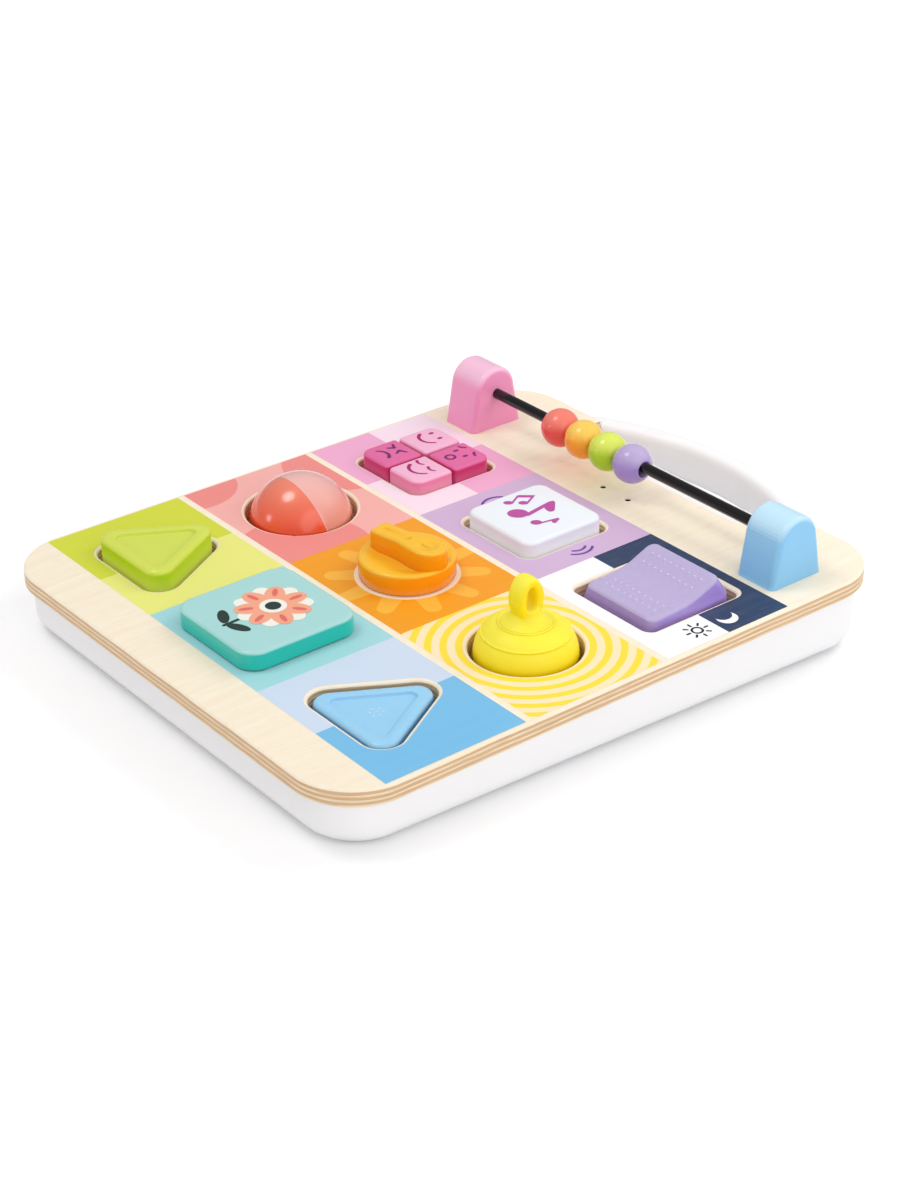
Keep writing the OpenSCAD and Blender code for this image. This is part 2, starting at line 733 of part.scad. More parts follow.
module tray_screws() {
    color("silver") difference() {
        at_tray_screws() screw(tray_counterbore, tray_h);
        above(under_plate + 1.5);
    }
}

module panel_screws() {
    color("silver") on_board() for (p = panel_screw_places) translate([p[0], p[1], 0])
        screw(under_plate, under_board + 4.5);
}

module battery_door() {
    l = bay_l + 2 * door_lip - 2 * run_gap;
    w = bay_w + 2 * door_lip - 2 * run_gap;
    color("gainsboro") difference() {
        union() {
            bay_box(l, w, foot_proud, foot_proud + door_t);
            translate([0, door_screw_y, foot_proud])
                cylinder(r = screw_head_r + 1.5 - run_gap, h = door_t);
        }
        translate([0, door_screw_y, foot_proud - 1]) cylinder(r = screw_r + fit_gap, h = 10);
        translate([0, door_screw_y, foot_proud - 1]) cylinder(r = screw_head_r + fit_gap,
            h = 1 + door_head_t);
    }
}

module door_screw() {
    color("silver") translate([0, door_screw_y, foot_proud]) {
        cylinder(r = screw_head_r, h = door_head_t);
        cylinder(r = screw_r, h = door_boss_h - 2);
    }
}

module battery_cells() {
    color("slategray") for (i = [0:cell_count - 1])
        translate([-cell_l / 2, bay_y + (i - (cell_count - 1) / 2) * cell_pitch,
            bay_floor + cell_r]) rotate([0, 90, 0]) {
            cylinder(r = cell_r, h = cell_l - 0.8);
            cylinder(r = 1.9, h = cell_l);
        }
}

module battery_contacts() {
    color("silver") for (side = [-1, 1]) {
        translate([side * (bay_l / 2 - 0.5) - 0.5, bay_y - bay_w / 2 + 0.5, bay_floor + 1])
            cube([1, bay_w - 1, bay_h - 1]);
        for (i = [0:cell_count - 1]) translate([side * (bay_l / 2 - 1 + eps),
            bay_y + (i - (cell_count - 1) / 2) * cell_pitch, bay_floor + cell_r])
            rotate([0, -90 * side, 0]) cylinder(r1 = 3, r2 = 1.5, h = (bay_l - cell_l) / 2 - 1 + eps);
    }
}

module circuit_board() {
    x0 = col_x[0] - boss_off - boss_r - 1;
    x1 = col_x[1] + boss_off + boss_r + 1;
    color("seagreen") on_board() difference() {
        translate([x0, row_y[2] - pcb_half_l, pcb_top - pcb_t]) cube([x1 - x0, 2 * pcb_half_l, pcb_t]);
        at_pcb_screws() translate([0, 0, pcb_top - 10]) cylinder(r = screw_r + fit_gap, h = 20);
    }
}

module pcb_screws() {
    color("silver") on_board() at_pcb_screws() screw(pcb_top - pcb_t, pcb_top + 4);
}

module button_pad() {
    half = pocket_half - 10;
    color("lightgray") on_board() {
        for (col = [0, 1]) translate([col_x[col] - half, row_y[2] - half, pcb_top])
            cube([2 * half, 2 * half, pad_t]);
        for (x = [-1, 1], y = [-1, 1]) translate([col_x[0] + x * face_pitch / 2,
            row_y[2] + y * face_pitch / 2, pcb_top + pad_t - eps])
            cylinder(r1 = 4.5, r2 = 3, h = pad_dome_h + eps);
        translate([col_x[1], row_y[2], pcb_top + pad_t - eps])
            cylinder(r1 = 4.5, r2 = 3, h = pad_dome_h + eps);
    }
}

module speaker() {
    color("dimgray") on_board() translate([0, speaker_y, under_plate - speaker_t]) {
        cylinder(r = speaker_r - 7, h = speaker_t - 4);
        translate([0, 0, speaker_t - 4]) cylinder(r1 = speaker_r - 7, r2 = speaker_r, h = 2.5);
        translate([0, 0, speaker_t - 1.5]) cylinder(r = speaker_r, h = 1.5);
    }
}

module light_board() {
    color("seagreen") at_tile(0, 1) translate([0, 0, dome_collar_bottom - light_board_t]) {
        cylinder(r = dome_flange_r + run_gap + collar_wall, h = light_board_t);
        for (a = [0:120:240]) rotate([0, 0, a]) translate([12, 0, light_board_t - eps])
            cylinder(r1 = 2.5, r2 = 2, h = 1.6);
    }
}

// Half section of a post across its width, from the middle of its round top outwards
module post_section() {
    edge_section(post_top_r, -post_w / 2, post_w / 2, post_edge_r, post_edge_r);
}

// A post with an arched side view; the bore for the rod opens towards the panel's middle
module post(side) {
    top_y = post_h - post_top_r;
    on_board() difference() {
        translate([side * post_x, post_y, 0]) rotate([90, 0, 90]) intersection() {
            hull() for (c = [[-post_corner_x, -post_sink], [post_corner_x, -post_sink], [0, top_y]])
                translate(c) rotate_extrude($fn = 48) post_section();
            translate([-board_l / 2, 0, -post_w]) cube([board_l, 2 * post_h, 2 * post_w]);
        }
        translate([side * (post_x - post_w / 2 + rod_depth / 2 - 1), post_y, rod_h]) rotate([0, 90, 0])
            cylinder(r = rod_d / 2 + 0.02, h = rod_depth + 2 + 2 * eps, center = true);
        for (y = [-1, 1]) translate([side * post_x, post_y + y * 8, -1])
            cylinder(r = screw_r, h = 11);
    }
}

module post_left() {
    color("hotpink") post(-1);
}

module post_right() {
    color("skyblue") post(1);
}

module post_screws() {
    color("silver") on_board() for (x = [-post_x, post_x], y = [-1, 1])
        translate([x, post_y + y * 8, 0]) screw(under_board, 9);
}

module abacus_rod() {
    color("black") on_board() translate([0, post_y, rod_h]) rotate([0, 90, 0])
        cylinder(r = rod_d / 2, h = rod_l, center = true);
}

// Bead number i, counted from the left
module bead(i) {
    hang = (bead_bore_d - rod_d) / 2 - pin_gap;
    on_board() translate([-bead_row_left + (i - 1.5) * bead_pitch, post_y, rod_h - hang])
        rotate([0, 90, 0])
        difference() {
            intersection() {
                sphere(r = bead_d / 2);
                cylinder(r = bead_d, h = bead_l, center = true);
            }
            cylinder(r = bead_bore_d / 2, h = 2 * bead_d, center = true);
        }
}

module bead_red() {
    color("tomato") bead(0);
}

module bead_orange() {
    color("orange") bead(1);
}

module bead_lime() {
    color("yellowgreen") bead(2);
}

module bead_lavender() {
    color("mediumpurple") bead(3);
}

module seesaw_pin() {
    l = lever_hub_l + 2 * (run_gap + ear_t);
    color("silver") at_tile(1, 0) translate([0, 0, lever_z]) rotate([90, 0, 0])
        cylinder(r = pin_r, h = l, center = true);
}

// The see-saw's arm at rest, with the green button's end up
module seesaw_lever() {
    half = (tile_w + lever_tip) / cos(lever_angle);
    color("lightsteelblue") at_tile(1, 0) translate([0, 0, lever_z]) rotate([0, lever_angle, 0])
        difference() {
            union() {
                translate([-half, -lever_w / 2, -lever_t / 2]) cube([2 * half, lever_w, lever_t]);
                rotate([90, 0, 0]) cylinder(r = lever_hub_r, h = lever_hub_l, center = true);
            }
            rotate([90, 0, 0]) cylinder(r = pin_r + pin_gap, h = lever_hub_l + 2, center = true);
        }
}

// A triangular slab with rounded corners and a rounded upper edge
module soft_triangle(side, r, z0, z1, top_r = 0) {
    hull() for (c = tri_corners(side)) translate(c) rotate_extrude($fn = 48)
        edge_section(r, z0, z1, top_r);
}

// A triangle button in its raised place, with a hollow cap, a flange and a stem down to the lever
module triangle_button() {
    roof = tri_up - tri_dish_d - cap_wall;
    difference() {
        union() {
            soft_triangle(tri_side, tri_cap_r, flange_bottom, tri_up, tri_edge_r);
            soft_triangle(tri_side, tri_flange_r, flange_bottom, flange_top);
        }
        soft_triangle(tri_side, tri_cap_r - cap_wall, flange_bottom - 1, roof);
        soft_triangle(tri_dish_side, tri_dish_r, tri_up - tri_dish_d, tri_up + 1);
    }
    rotate_extrude($fn = 48) edge_section(stem_r, stem_end, roof + cap_wall / 2, 0, stem_r - 1);
}

module green_triangle() {
    color("yellowgreen") at_tile(0, 0) triangle_button();
}

module blue_triangle() {
    bump_r = 0.9;
    bump_pitch = 4.2;
    color("deepskyblue") at_tile(2, 0) translate([0, 0, -tri_stroke]) {
        triangle_button();
        for (row = [0:2], i = [0:2 - row])
            translate([(i - (2 - row) / 2) * bump_pitch, (row - 1.4) * bump_pitch * 0.85,
                tri_up - tri_dish_d]) sphere(r = bump_r, $fn = 24);
    }
}

// A flanged bush through the panel and the plate
module bush() {
    tube(bush_r, shaft_r + pin_gap, under_plate, seat_t - eps);
    tube(bush_flange_r, shaft_r + pin_gap, 0, seat_t);
}

module spinner_bush() {
    color("ivory") at_tile(1, 0) translate([0, -spin_forward, 0]) bush();
}

module knob_bush() {
    color("ivory") at_tile(1, 1) bush();
}

// A shaft through a bush, with a pilot bore for its screw
module shaft(top) {
    difference() {
        translate([0, 0, shaft_end]) cylinder(r = shaft_r, h = top - shaft_end);
        translate([0, 0, shaft_end - 1]) cylinder(r = screw_r, h = 9.5);
    }
}

// A washer under a bush
module shaft_washer() {
    tube(washer_r, screw_r + fit_gap, shaft_end - washer_t, shaft_end);
}

// A screw that holds a washer to its shaft
module shaft_screw() {
    screw(shaft_end - washer_t, shaft_end + 8);
}

module spinner_tile() {
    bottom = seat_t + seat_gap;
    color("mediumturquoise") at_tile(1, 0) translate([0, -spin_forward, 0]) {
        rounded_slab(rect_corners(spin_side, spin_side, spin_r), spin_r, bottom, spin_top,
            spin_edge_r, 0.6);
        shaft(bottom + eps);
    }
}

module spinner_washer() {
    color("silver") at_tile(1, 0) translate([0, -spin_forward, 0]) shaft_washer();
}

module spinner_screw() {
    color("silver") at_tile(1, 0) translate([0, -spin_forward, 0]) shaft_screw();
}

// Half section of the dome between its crown and its flange, at a depth inside the outer face
module dome_section(inset, skirt_r, bottom) {
    intersection() {
        translate([0, -dome_sink]) circle(dome_r - inset);
        translate([0, bottom]) square([skirt_r - inset, 2 * dome_r]);
    }
}

module dome_lens() {
    color("salmon") at_tile(0, 1) rotate_extrude() {
        difference() {
            union() {
                dome_section(0, dome_skirt_r, flange_bottom);
                translate([0, flange_bottom]) square([dome_skirt_r, flange_t]);
            }
            dome_section(dome_wall, dome_skirt_r, flange_bottom - 1);
            translate([0, flange_bottom - 1]) square([dome_skirt_r - dome_wall, flange_t]);
        }
        translate([dome_skirt_r - dome_wall, flange_bottom])
            square([dome_flange_r - dome_skirt_r + dome_wall, flange_t]);
    }
}

// The deeper tinted half inside the dome, on the child's side of a leaning seam
module dome_liner() {
    gap = dome_wall + fit_gap;
    wall = 1.5;
    color("tomato") at_tile(0, 1) difference() {
        rotate_extrude() difference() {
            dome_section(gap, dome_skirt_r, flange_bottom);
            dome_section(gap + wall, dome_skirt_r, flange_bottom - 1);
        }
        translate([0, 0, -dome_sink]) rotate([seam_lean, 0, 0]) translate([-50, 0, -50])
            cube(100);
    }
}

// Plan of the knob's grip: two round ends joined by straight flanks
module grip_plan() {
    narrow = grip_narrow_w / 2;
    broad = grip_broad_w / 2;
    x0 = -2;
    x1 = knob_r - broad;
    shoulder = broad - 0.05;
    translate([x1, 0]) circle(broad);
    polygon([[-knob_r, -narrow], [x0, -narrow], [x1, -shoulder], [x1, shoulder], [x0, narrow],
        [-knob_r, narrow]]);
}

module turn_knob() {
    bottom = seat_t + seat_gap;
    dimple_r = 9;
    broad_x = knob_r - grip_broad_w / 2;
    color("orange") at_tile(1, 1) rotate([0, 0, knob_angle]) {
        rotate_extrude() edge_section(knob_r, bottom, knob_disc_top, 1.6, 0.5);
        difference() {
            intersection() {
                translate([0, 0, bottom + 1]) linear_extrude(knob_grip_top - bottom - 1) grip_plan();
                rotate_extrude() edge_section(knob_r, bottom, knob_grip_top, 1.2);
            }
            translate([broad_x, 0, knob_grip_top + dimple_r - 2]) rotate([90, 0, 0]) sphere(r = dimple_r);
            for (x = [-14, -4]) translate([x, 0, knob_grip_top - 1.2]) cylinder(r = 2.6, h = 5);
            translate([-14, -2.6, knob_grip_top - 1.2]) cube([10, 5.2, 5]);
        }
        shaft(bottom + eps);
    }
}

module knob_washer() {
    color("silver") at_tile(1, 1) shaft_washer();
}

module knob_screw() {
    color("silver") at_tile(1, 1) shaft_screw();
}

// Half section of the pull's bell: a bulge, a tier with a raised line at each edge, and a neck
module pull_section() {
    belly_z = -4;
    belly_r = 21.5;
    tier_z = 8.5;
    cap_z = 13.8;
    tier_r = pull_r - 3.8;
    cap_r = pull_r - 11.9;
    intersection() {
        translate([pull_r - belly_r, belly_z]) circle(belly_r);
        translate([0, belly_z]) square([pull_r, tier_z - belly_z]);
    }
    intersection() {
        translate([tier_r - 11.24, tier_z - 8.34]) circle(14);
        translate([0, tier_z - eps]) square([pull_r, cap_z - tier_z + eps]);
    }
    translate([0, tier_z - eps]) square([cap_r - 2, cap_z - tier_z + 2 * eps]);
    translate([tier_r - 0.2, tier_z]) circle(0.6);
    translate([cap_r - 0.3, cap_z - 0.1]) circle(0.5);
    difference() {
        translate([0, cap_z - eps]) square([cap_r - 0.8, 5.5]);
        translate([cap_r + 0.4, cap_z + 8]) circle(8);
    }
    translate([0, pull_flange_bottom]) square([pull_r - 0.6, eps - pull_flange_bottom]);
    translate([0, pull_flange_bottom]) square([pull_flange_r, pull_flange_top - pull_flange_bottom]);
}

// Face view of the pull's loop, with a drop-shaped opening
module loop_face() {
    top_r = loop_w / 2;
    top_z = pull_top - top_r;
    difference() {
        union() {
            translate([0, top_z]) circle(top_r);
            polygon([[-top_r + 2, 15], [top_r - 2, 15], [top_r - 0.1, top_z - 1], [0.1 - top_r, top_z - 1]]);
        }
        translate([0, top_z - 1.5]) circle(3.3);
        polygon([[-0.9, 19.5], [0.9, 19.5], [3.25, top_z - 2], [-3.25, top_z - 2]]);
    }
}

// Edge view of the pull's loop
module loop_edge() {
    translate([0, pull_top - loop_t / 2]) circle(loop_t / 2);
    translate([-loop_t / 2, 15]) square([loop_t, pull_top - loop_t / 2 - 15]);
}

module silicone_pull() {
    cavity_r = pull_r - 5;
    color("gold") at_tile(2, 1) {
        difference() {
            rotate_extrude() pull_section();
            translate([0, 0, pull_flange_bottom - 1]) cylinder(r = cavity_r, h = -pull_flange_bottom - 1);
            translate([0, 0, -2 - eps]) cylinder(r1 = cavity_r, r2 = 8, h = 12);
        }
        intersection() {
            rotate([90, 0, 90]) linear_extrude(2 * loop_t, center = true) loop_face();
            rotate([90, 0, 0]) linear_extrude(2 * loop_w, center = true) loop_edge();
        }
    }
}

// Plan of one quarter of the face cut-out, kept clear of the lines between the four buttons
module face_quarter(clear, r, z0, z1, top_r = 0) {
    side = face_hole;
    corners = [for (p = rect_corners(side, side, r)) p + [side / 2 + clear, side / 2 + clear]];
    if (top_r > 0) rounded_slab(corners, r, z0, z1, top_r);
    else plain_slab(corners, r, z0, z1);
}

// A face button on the right of the handle side; the others are its mirror images
module face_button() {
    cap_side = face_hole - 2 * cap_reveal;
    cap_r = square_hole_r - 0.2;
    flange_side = face_hole + 2 * flange_lip;
    flange_r = square_hole_r + flange_lip;
    step_z = under_plate + face_divider_rise + face_stroke + run_gap;
    skirt = face_gap / 2 + face_skirt_inset;
    stem_x = face_gap / 2 + face_side / 2;
    difference() {
        union() {
            intersection() {
                rounded_slab(rect_corners(cap_side, cap_side, cap_r), cap_r, step_z, face_top,
                    face_edge_r);
                face_quarter(face_gap / 2, face_inner_r, step_z, face_top, face_edge_r);
            }
            intersection() {
                plain_slab(rect_corners(cap_side, cap_side, cap_r), cap_r, flange_bottom, step_z + 1);
                face_quarter(skirt, face_inner_r, flange_bottom, step_z + 1);
            }
            intersection() {
                plain_slab(rect_corners(flange_side, flange_side, flange_r), flange_r, flange_bottom,
                    flange_top);
                face_quarter(skirt, face_inner_r, flange_bottom, flange_top);
            }
        }
        difference() {
            translate([skirt + cap_wall, skirt + cap_wall, flange_bottom - 1])
                cube([face_side - 3 * cap_wall - face_skirt_inset, face_side - 3 * cap_wall
                    - face_skirt_inset, face_top - flange_bottom + 1 - 2 * cap_wall]);
            translate([stem_x, stem_x, flange_bottom - 1]) cylinder(r = 4, h = 40);
        }
    }
}

module smile_button() {
    color("pink") at_tile(0, 2) mirror([1, 0, 0]) face_button();
}

module surprised_button() {
    color("mediumvioletred") at_tile(0, 2) face_button();
}

module grumpy_button() {
    color("mediumvioletred") at_tile(0, 2) rotate([0, 0, 180]) face_button();
}

module sleepy_button() {
    color("pink") at_tile(0, 2) mirror([0, 1, 0]) face_button();
}

module music_button() {
    corner_r = square_hole_r;
    flange_r = square_hole_r + flange_lip;
    flange_side = music_hole + 2 * flange_lip;
    color("white") at_tile(1, 2) difference() {
        union() {
            rounded_slab(rect_corners(music_side, music_side, corner_r), corner_r, flange_bottom,
                music_top, music_edge_r);
            plain_slab(rect_corners(flange_side, flange_side, flange_r), flange_r, flange_bottom,
                flange_top);
        }
        difference() {
            plain_slab(rect_corners(music_side - 2 * cap_wall, music_side - 2 * cap_wall,
                corner_r - cap_wall), corner_r - cap_wall, flange_bottom - 1, music_top - 2 * cap_wall);
            translate([0, 0, flange_bottom - 1]) cylinder(r = 5, h = 40);
        }
    }
}

// Height of the rocker's saddle over its pin, at a place along the rocker
function saddle_z(y) = rocker_top - rocker_z + sqrt(pow(saddle_r, 2) - pow(rocker_top_l / 2, 2))
    - sqrt(pow(saddle_r, 2) - pow(y, 2));

// Side view of the rocker about its pin: drafted ends and a saddle between them
module rocker_side() {
    top = rocker_top - rocker_z;
    difference() {
        polygon([[-rocker_base_l / 2, -rocker_skirt], [rocker_base_l / 2, -rocker_skirt],
            [rocker_base_l / 2, -rocker_z - 2], [rocker_top_l / 2, top],
            [-rocker_top_l / 2, top], [-rocker_base_l / 2, -rocker_z - 2]]);
        translate([0, top + sqrt(pow(saddle_r, 2) - pow(rocker_top_l / 2, 2))]) circle(saddle_r);
    }
}

// Front view of the rocker about its pin
module rocker_front() {
    polygon([[-rocker_base_w / 2, -rocker_skirt], [rocker_base_w / 2, -rocker_skirt],
        [rocker_base_w / 2, -rocker_z - 2], [rocker_top_w / 2, rocker_top - rocker_z],
        [-rocker_top_w / 2, rocker_top - rocker_z], [-rocker_base_w / 2, -rocker_z - 2]]);
}

module day_night_rocker() {
    color("mediumpurple") on_board() translate([col_x[2], rocker_y, rocker_z])
        rotate([rocker_tilt, 0, 0]) difference() {
            union() {
                difference() {
                    intersection() {
                        rotate([90, 0, 90]) linear_extrude(rocker_base_w + 2, center = true) rocker_side();
                        rotate([90, 0, 0]) linear_extrude(rocker_base_l + 2, center = true) rocker_front();
                    }
                    translate([0, 0, -rocker_skirt - 1])
                        linear_extrude(rocker_skirt - rocker_z + 1) square(
                        [rocker_base_w - 2 * cap_wall, rocker_base_l - 2 * cap_wall], center = true);
                }
                rotate([0, 90, 0])
                    cylinder(r = pin_r + 1.6, h = rocker_hole_w + 4.4 - 2 * run_gap, center = true);
                for (y = [-18.6, -15.2, 15.2, 18.6], i = [-4:4])
                    translate([i * rocker_bump_pitch, y, saddle_z(y)]) sphere(r = rocker_bump_r, $fn = 24);
            }
            rotate([0, 90, 0]) cylinder(r = pin_r + pin_gap, h = 100, center = true);
        }
}

module rocker_pin() {
    color("silver") on_board() translate([col_x[2], rocker_y, rocker_z]) rotate([0, 90, 0])
        cylinder(r = pin_r, h = 2 * (rocker_ear_x + ear_t), center = true);
}

base_tray();
upper_shell();
top_board();
rubber_feet();
tray_screws();
panel_screws();
battery_door();
door_screw();
battery_cells();
battery_contacts();
circuit_board();
pcb_screws();
button_pad();
speaker();
light_board();
post_left();
post_right();
post_screws();
abacus_rod();
seesaw_pin();
rocker_pin();
spinner_bush();
knob_bush();
bead_red();
bead_orange();
bead_lime();
bead_lavender();
green_triangle();
blue_triangle();
seesaw_lever();
spinner_tile();
spinner_washer();
spinner_screw();
dome_lens();
dome_liner();
turn_knob();
knob_washer();
knob_screw();
silicone_pull();
smile_button();
surprised_button();
grumpy_button();
sleepy_button();
music_button();
day_night_rocker();
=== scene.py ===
"""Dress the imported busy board: wood, prints, moulded pieces, camera and studio light."""

import logging
import math
from dataclasses import dataclass
from enum import Enum
from typing import Callable, Optional, Sequence, Union

import bmesh
import bpy
from mathutils import Matrix, Vector


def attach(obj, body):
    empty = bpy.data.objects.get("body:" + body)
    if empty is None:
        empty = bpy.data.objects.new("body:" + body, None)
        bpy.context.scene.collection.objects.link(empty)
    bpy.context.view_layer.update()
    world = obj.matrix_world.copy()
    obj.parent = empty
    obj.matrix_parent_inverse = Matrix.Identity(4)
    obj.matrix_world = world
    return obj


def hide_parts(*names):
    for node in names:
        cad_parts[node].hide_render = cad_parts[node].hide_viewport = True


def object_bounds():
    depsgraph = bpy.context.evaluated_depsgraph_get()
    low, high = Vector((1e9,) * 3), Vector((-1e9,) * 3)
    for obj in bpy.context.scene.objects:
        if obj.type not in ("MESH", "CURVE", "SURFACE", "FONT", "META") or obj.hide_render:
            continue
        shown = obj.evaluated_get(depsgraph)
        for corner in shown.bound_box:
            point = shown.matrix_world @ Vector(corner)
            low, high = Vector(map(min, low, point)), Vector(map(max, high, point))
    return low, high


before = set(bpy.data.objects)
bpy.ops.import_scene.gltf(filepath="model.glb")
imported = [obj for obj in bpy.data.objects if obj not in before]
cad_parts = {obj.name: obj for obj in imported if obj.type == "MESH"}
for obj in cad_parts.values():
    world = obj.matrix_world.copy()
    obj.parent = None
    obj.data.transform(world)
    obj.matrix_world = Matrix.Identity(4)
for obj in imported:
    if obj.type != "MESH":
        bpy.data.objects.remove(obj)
CAD_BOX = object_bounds()
LOG = logging.getLogger("busy_board")
MM = 0.001

Point = tuple[float, float]
Spot = tuple[float, float, float]
Loop = list[Point]
Ring = list[Spot]
Node = bpy.types.Node
Socket = bpy.types.NodeSocket
Value = Union[float, Socket]


# Places on the board

@dataclass(frozen=True)
class BoardFrame:
    """The panel's own frame: its origin is the middle of the panel's top face, in millimetres."""

    tilt: float = math.radians(1.8)
    shift_y: float = -15.572
    lift_z: float = 39.765
    tile_w: float = 93.4
    tile_h: float = 80.0
    row_pitch: float = 84.0
    first_row_y: float = -106.8

    def matrix(self, x: float = 0.0, y: float = 0.0, z: float = 0.0) -> Matrix:
        """Give the pose of a point of the board frame.

        Args:
            x: Distance across the board, in millimetres.
            y: Distance along the board, in millimetres.
            z: Height above the panel, in millimetres.
        Returns:
            The matrix from that point's frame to the shared frame, in metres.
        """
        seat = Matrix.Translation((0.0, self.shift_y * MM, self.lift_z * MM))
        return seat @ Matrix.Rotation(self.tilt, 4, "X") @ Matrix.Translation((x * MM, y * MM, z * MM))

    def tile(self, column: int, row: int) -> Point:
        """Give a tile's middle, counted from the front left, in millimetres."""
        return ((column - 1) * self.tile_w, self.first_row_y + row * self.row_pitch)


BOARD = BoardFrame()


# Colours and node graphs

@dataclass(frozen=True)
class Tone:
    """A colour as a screen shows it, in 0 to 255."""

    red: int
    green: int
    blue: int

    def linear(self) -> tuple[float, float, float, float]:
        """Give the colour in linear light.

        Returns:
            Red, green, blue and full opacity.
        """
        parts = []
        for channel in (self.red, self.green, self.blue):
            share = channel / 255.0
            parts.append(share / 12.92 if share <= 0.04045 else ((share + 0.055) / 1.055) ** 2.4)
        return (parts[0], parts[1], parts[2], 1.0)


class Graph:
    """A node tree with short ways to add and join nodes."""

    def __init__(self, tree: bpy.types.NodeTree) -> None:
        """Keep the tree that the nodes go into, and its shader where it has one."""
        self.tree = tree
        self.shader = tree.nodes.get("Principled BSDF")

    def node(self, kind: str, **settings: object) -> Node:
        """Add a node.

        Args:
            kind: The node's type name.
            settings: Attributes to set on the node.
        Returns:
            The new node.
        """
        made = self.tree.nodes.new(kind)
        for name, value in settings.items():
            setattr(made, name, value)
        return made

    def feed(self, target: Socket, value: object) -> None:
        """Link a socket to a target, or set a constant on it.

        Args:
            target: The socket that is fed.
            value: A socket, a tone or another constant.
        """
        if isinstance(value, Socket):
            self.tree.links.new(value, target)
        else:
            target.default_value = value.linear() if isinstance(value, Tone) else value

    def fill(self, node: Node, **values: object) -> Node:
        """Feed a node's inputs.

        Args:
            node: The node.
            values: What feeds each input, with _ for a space in its name.
        Returns:
            The same node.
        """
        for name, value in values.items():
            self.feed(node.inputs[name.replace("_", " ")], value)
        return node

    def math(self, operation: str, first: Value, second: Value = 0.0, clamp: bool = False) -> Socket:
        """Add a math node.

        Args:
            operation: The node's operation.
            first: The first input.
            second: The second input.
            clamp: Whether the result is held between 0 and 1.
        Returns:
            The result's socket.
        """
        made = self.node("ShaderNodeMath", operation=operation, use_clamp=clamp)
        self.feed(made.inputs[0], first)
        self.feed(made.inputs[1], second)
        return made.outputs[0]

    def mix(self, share: Value, first: object, second: object, blend: str = "MIX") -> Socket:
        """Mix two colours.

        Args:
            share: How much of the second colour shows.
            first: The first colour or socket.
            second: The second colour or socket.
            blend: The way the colours join.
        Returns:
            The result's socket.
        """
        made = self.node("ShaderNodeMix", data_type="RGBA", blend_type=blend)
        self.feed(made.inputs["Factor"], share)
        self.feed(made.inputs[6], first)
        self.feed(made.inputs[7], second)
        return made.outputs[2]

    def cover(self, ground: object, mask: Value, weight: float, tone: object) -> Socket:
        """Lay a tone over a ground where a mask shows, by a weight."""
        return self.mix(self.math("MULTIPLY", mask, weight), ground, tone)

    def span(self, value: Value, low: float, high: float, to_low: float = 0.0, to_high: float = 1.0
             ) -> Socket:
        """Map one range of numbers to another, held at its ends."""
        made = self.fill(self.node("ShaderNodeMapRange"), Value=value, From_Min=low, From_Max=high)
        return self.fill(made, To_Min=to_low, To_Max=to_high).outputs[0]

    def swing(self, value: Value, width: Value) -> Socket:
        """Turn a number in 0 to 1 into a swing of a given width round zero."""
        return self.math("MULTIPLY", self.math("SUBTRACT", value, 0.5), width)

    def length(self, first: Value, second: Value) -> Socket:
        """Give a distance from its two parts at right angles."""
        square = self.math("ADD", self.math("MULTIPLY", first, first), self.math("MULTIPLY", second, second))
        return self.math("SQRT", square)

    def noise(self, vector: Socket, scale: float, detail: float) -> Socket:
        """Add a noise texture and give its factor."""
        made = self.node("ShaderNodeTexNoise")
        return self.fill(made, Vector=vector, Scale=scale, Detail=detail).outputs["Fac"]

    def streaks(self, vector: Socket, scale: Spot, detail: float) -> Socket:
        """Add a noise texture with a scale of its own along each axis."""
        return self.noise(self.stretched(vector, scale), 1.0, detail)

    def stretched(self, vector: Socket, scale: Spot) -> Socket:
        """Scale a vector by its axes."""
        return self.fill(self.node("ShaderNodeMapping"), Vector=vector, Scale=scale).outputs[0]

    def parts(self, vector: Socket) -> tuple[Socket, ...]:
        """Split a vector into its three numbers."""
        return tuple(self.fill(self.node("ShaderNodeSeparateXYZ"), Vector=vector).outputs)

    def object_place(self) -> Socket:
        """Give the place in the piece's own frame."""
        return self.node("ShaderNodeTexCoord").outputs["Object"]


class Effect(Enum):
    """The shared shader groups."""

    BOARD_PLACE = "board_place"
    WOOD_GRAIN = "wood_grain"
    PLY_LAYERS = "ply_layers"
    MOULDING = "moulding"
    SPOT = "spot"
    RIPPLES = "ripples"
    SUN_RAYS = "sun_rays"
    BRUSHING = "brushing"


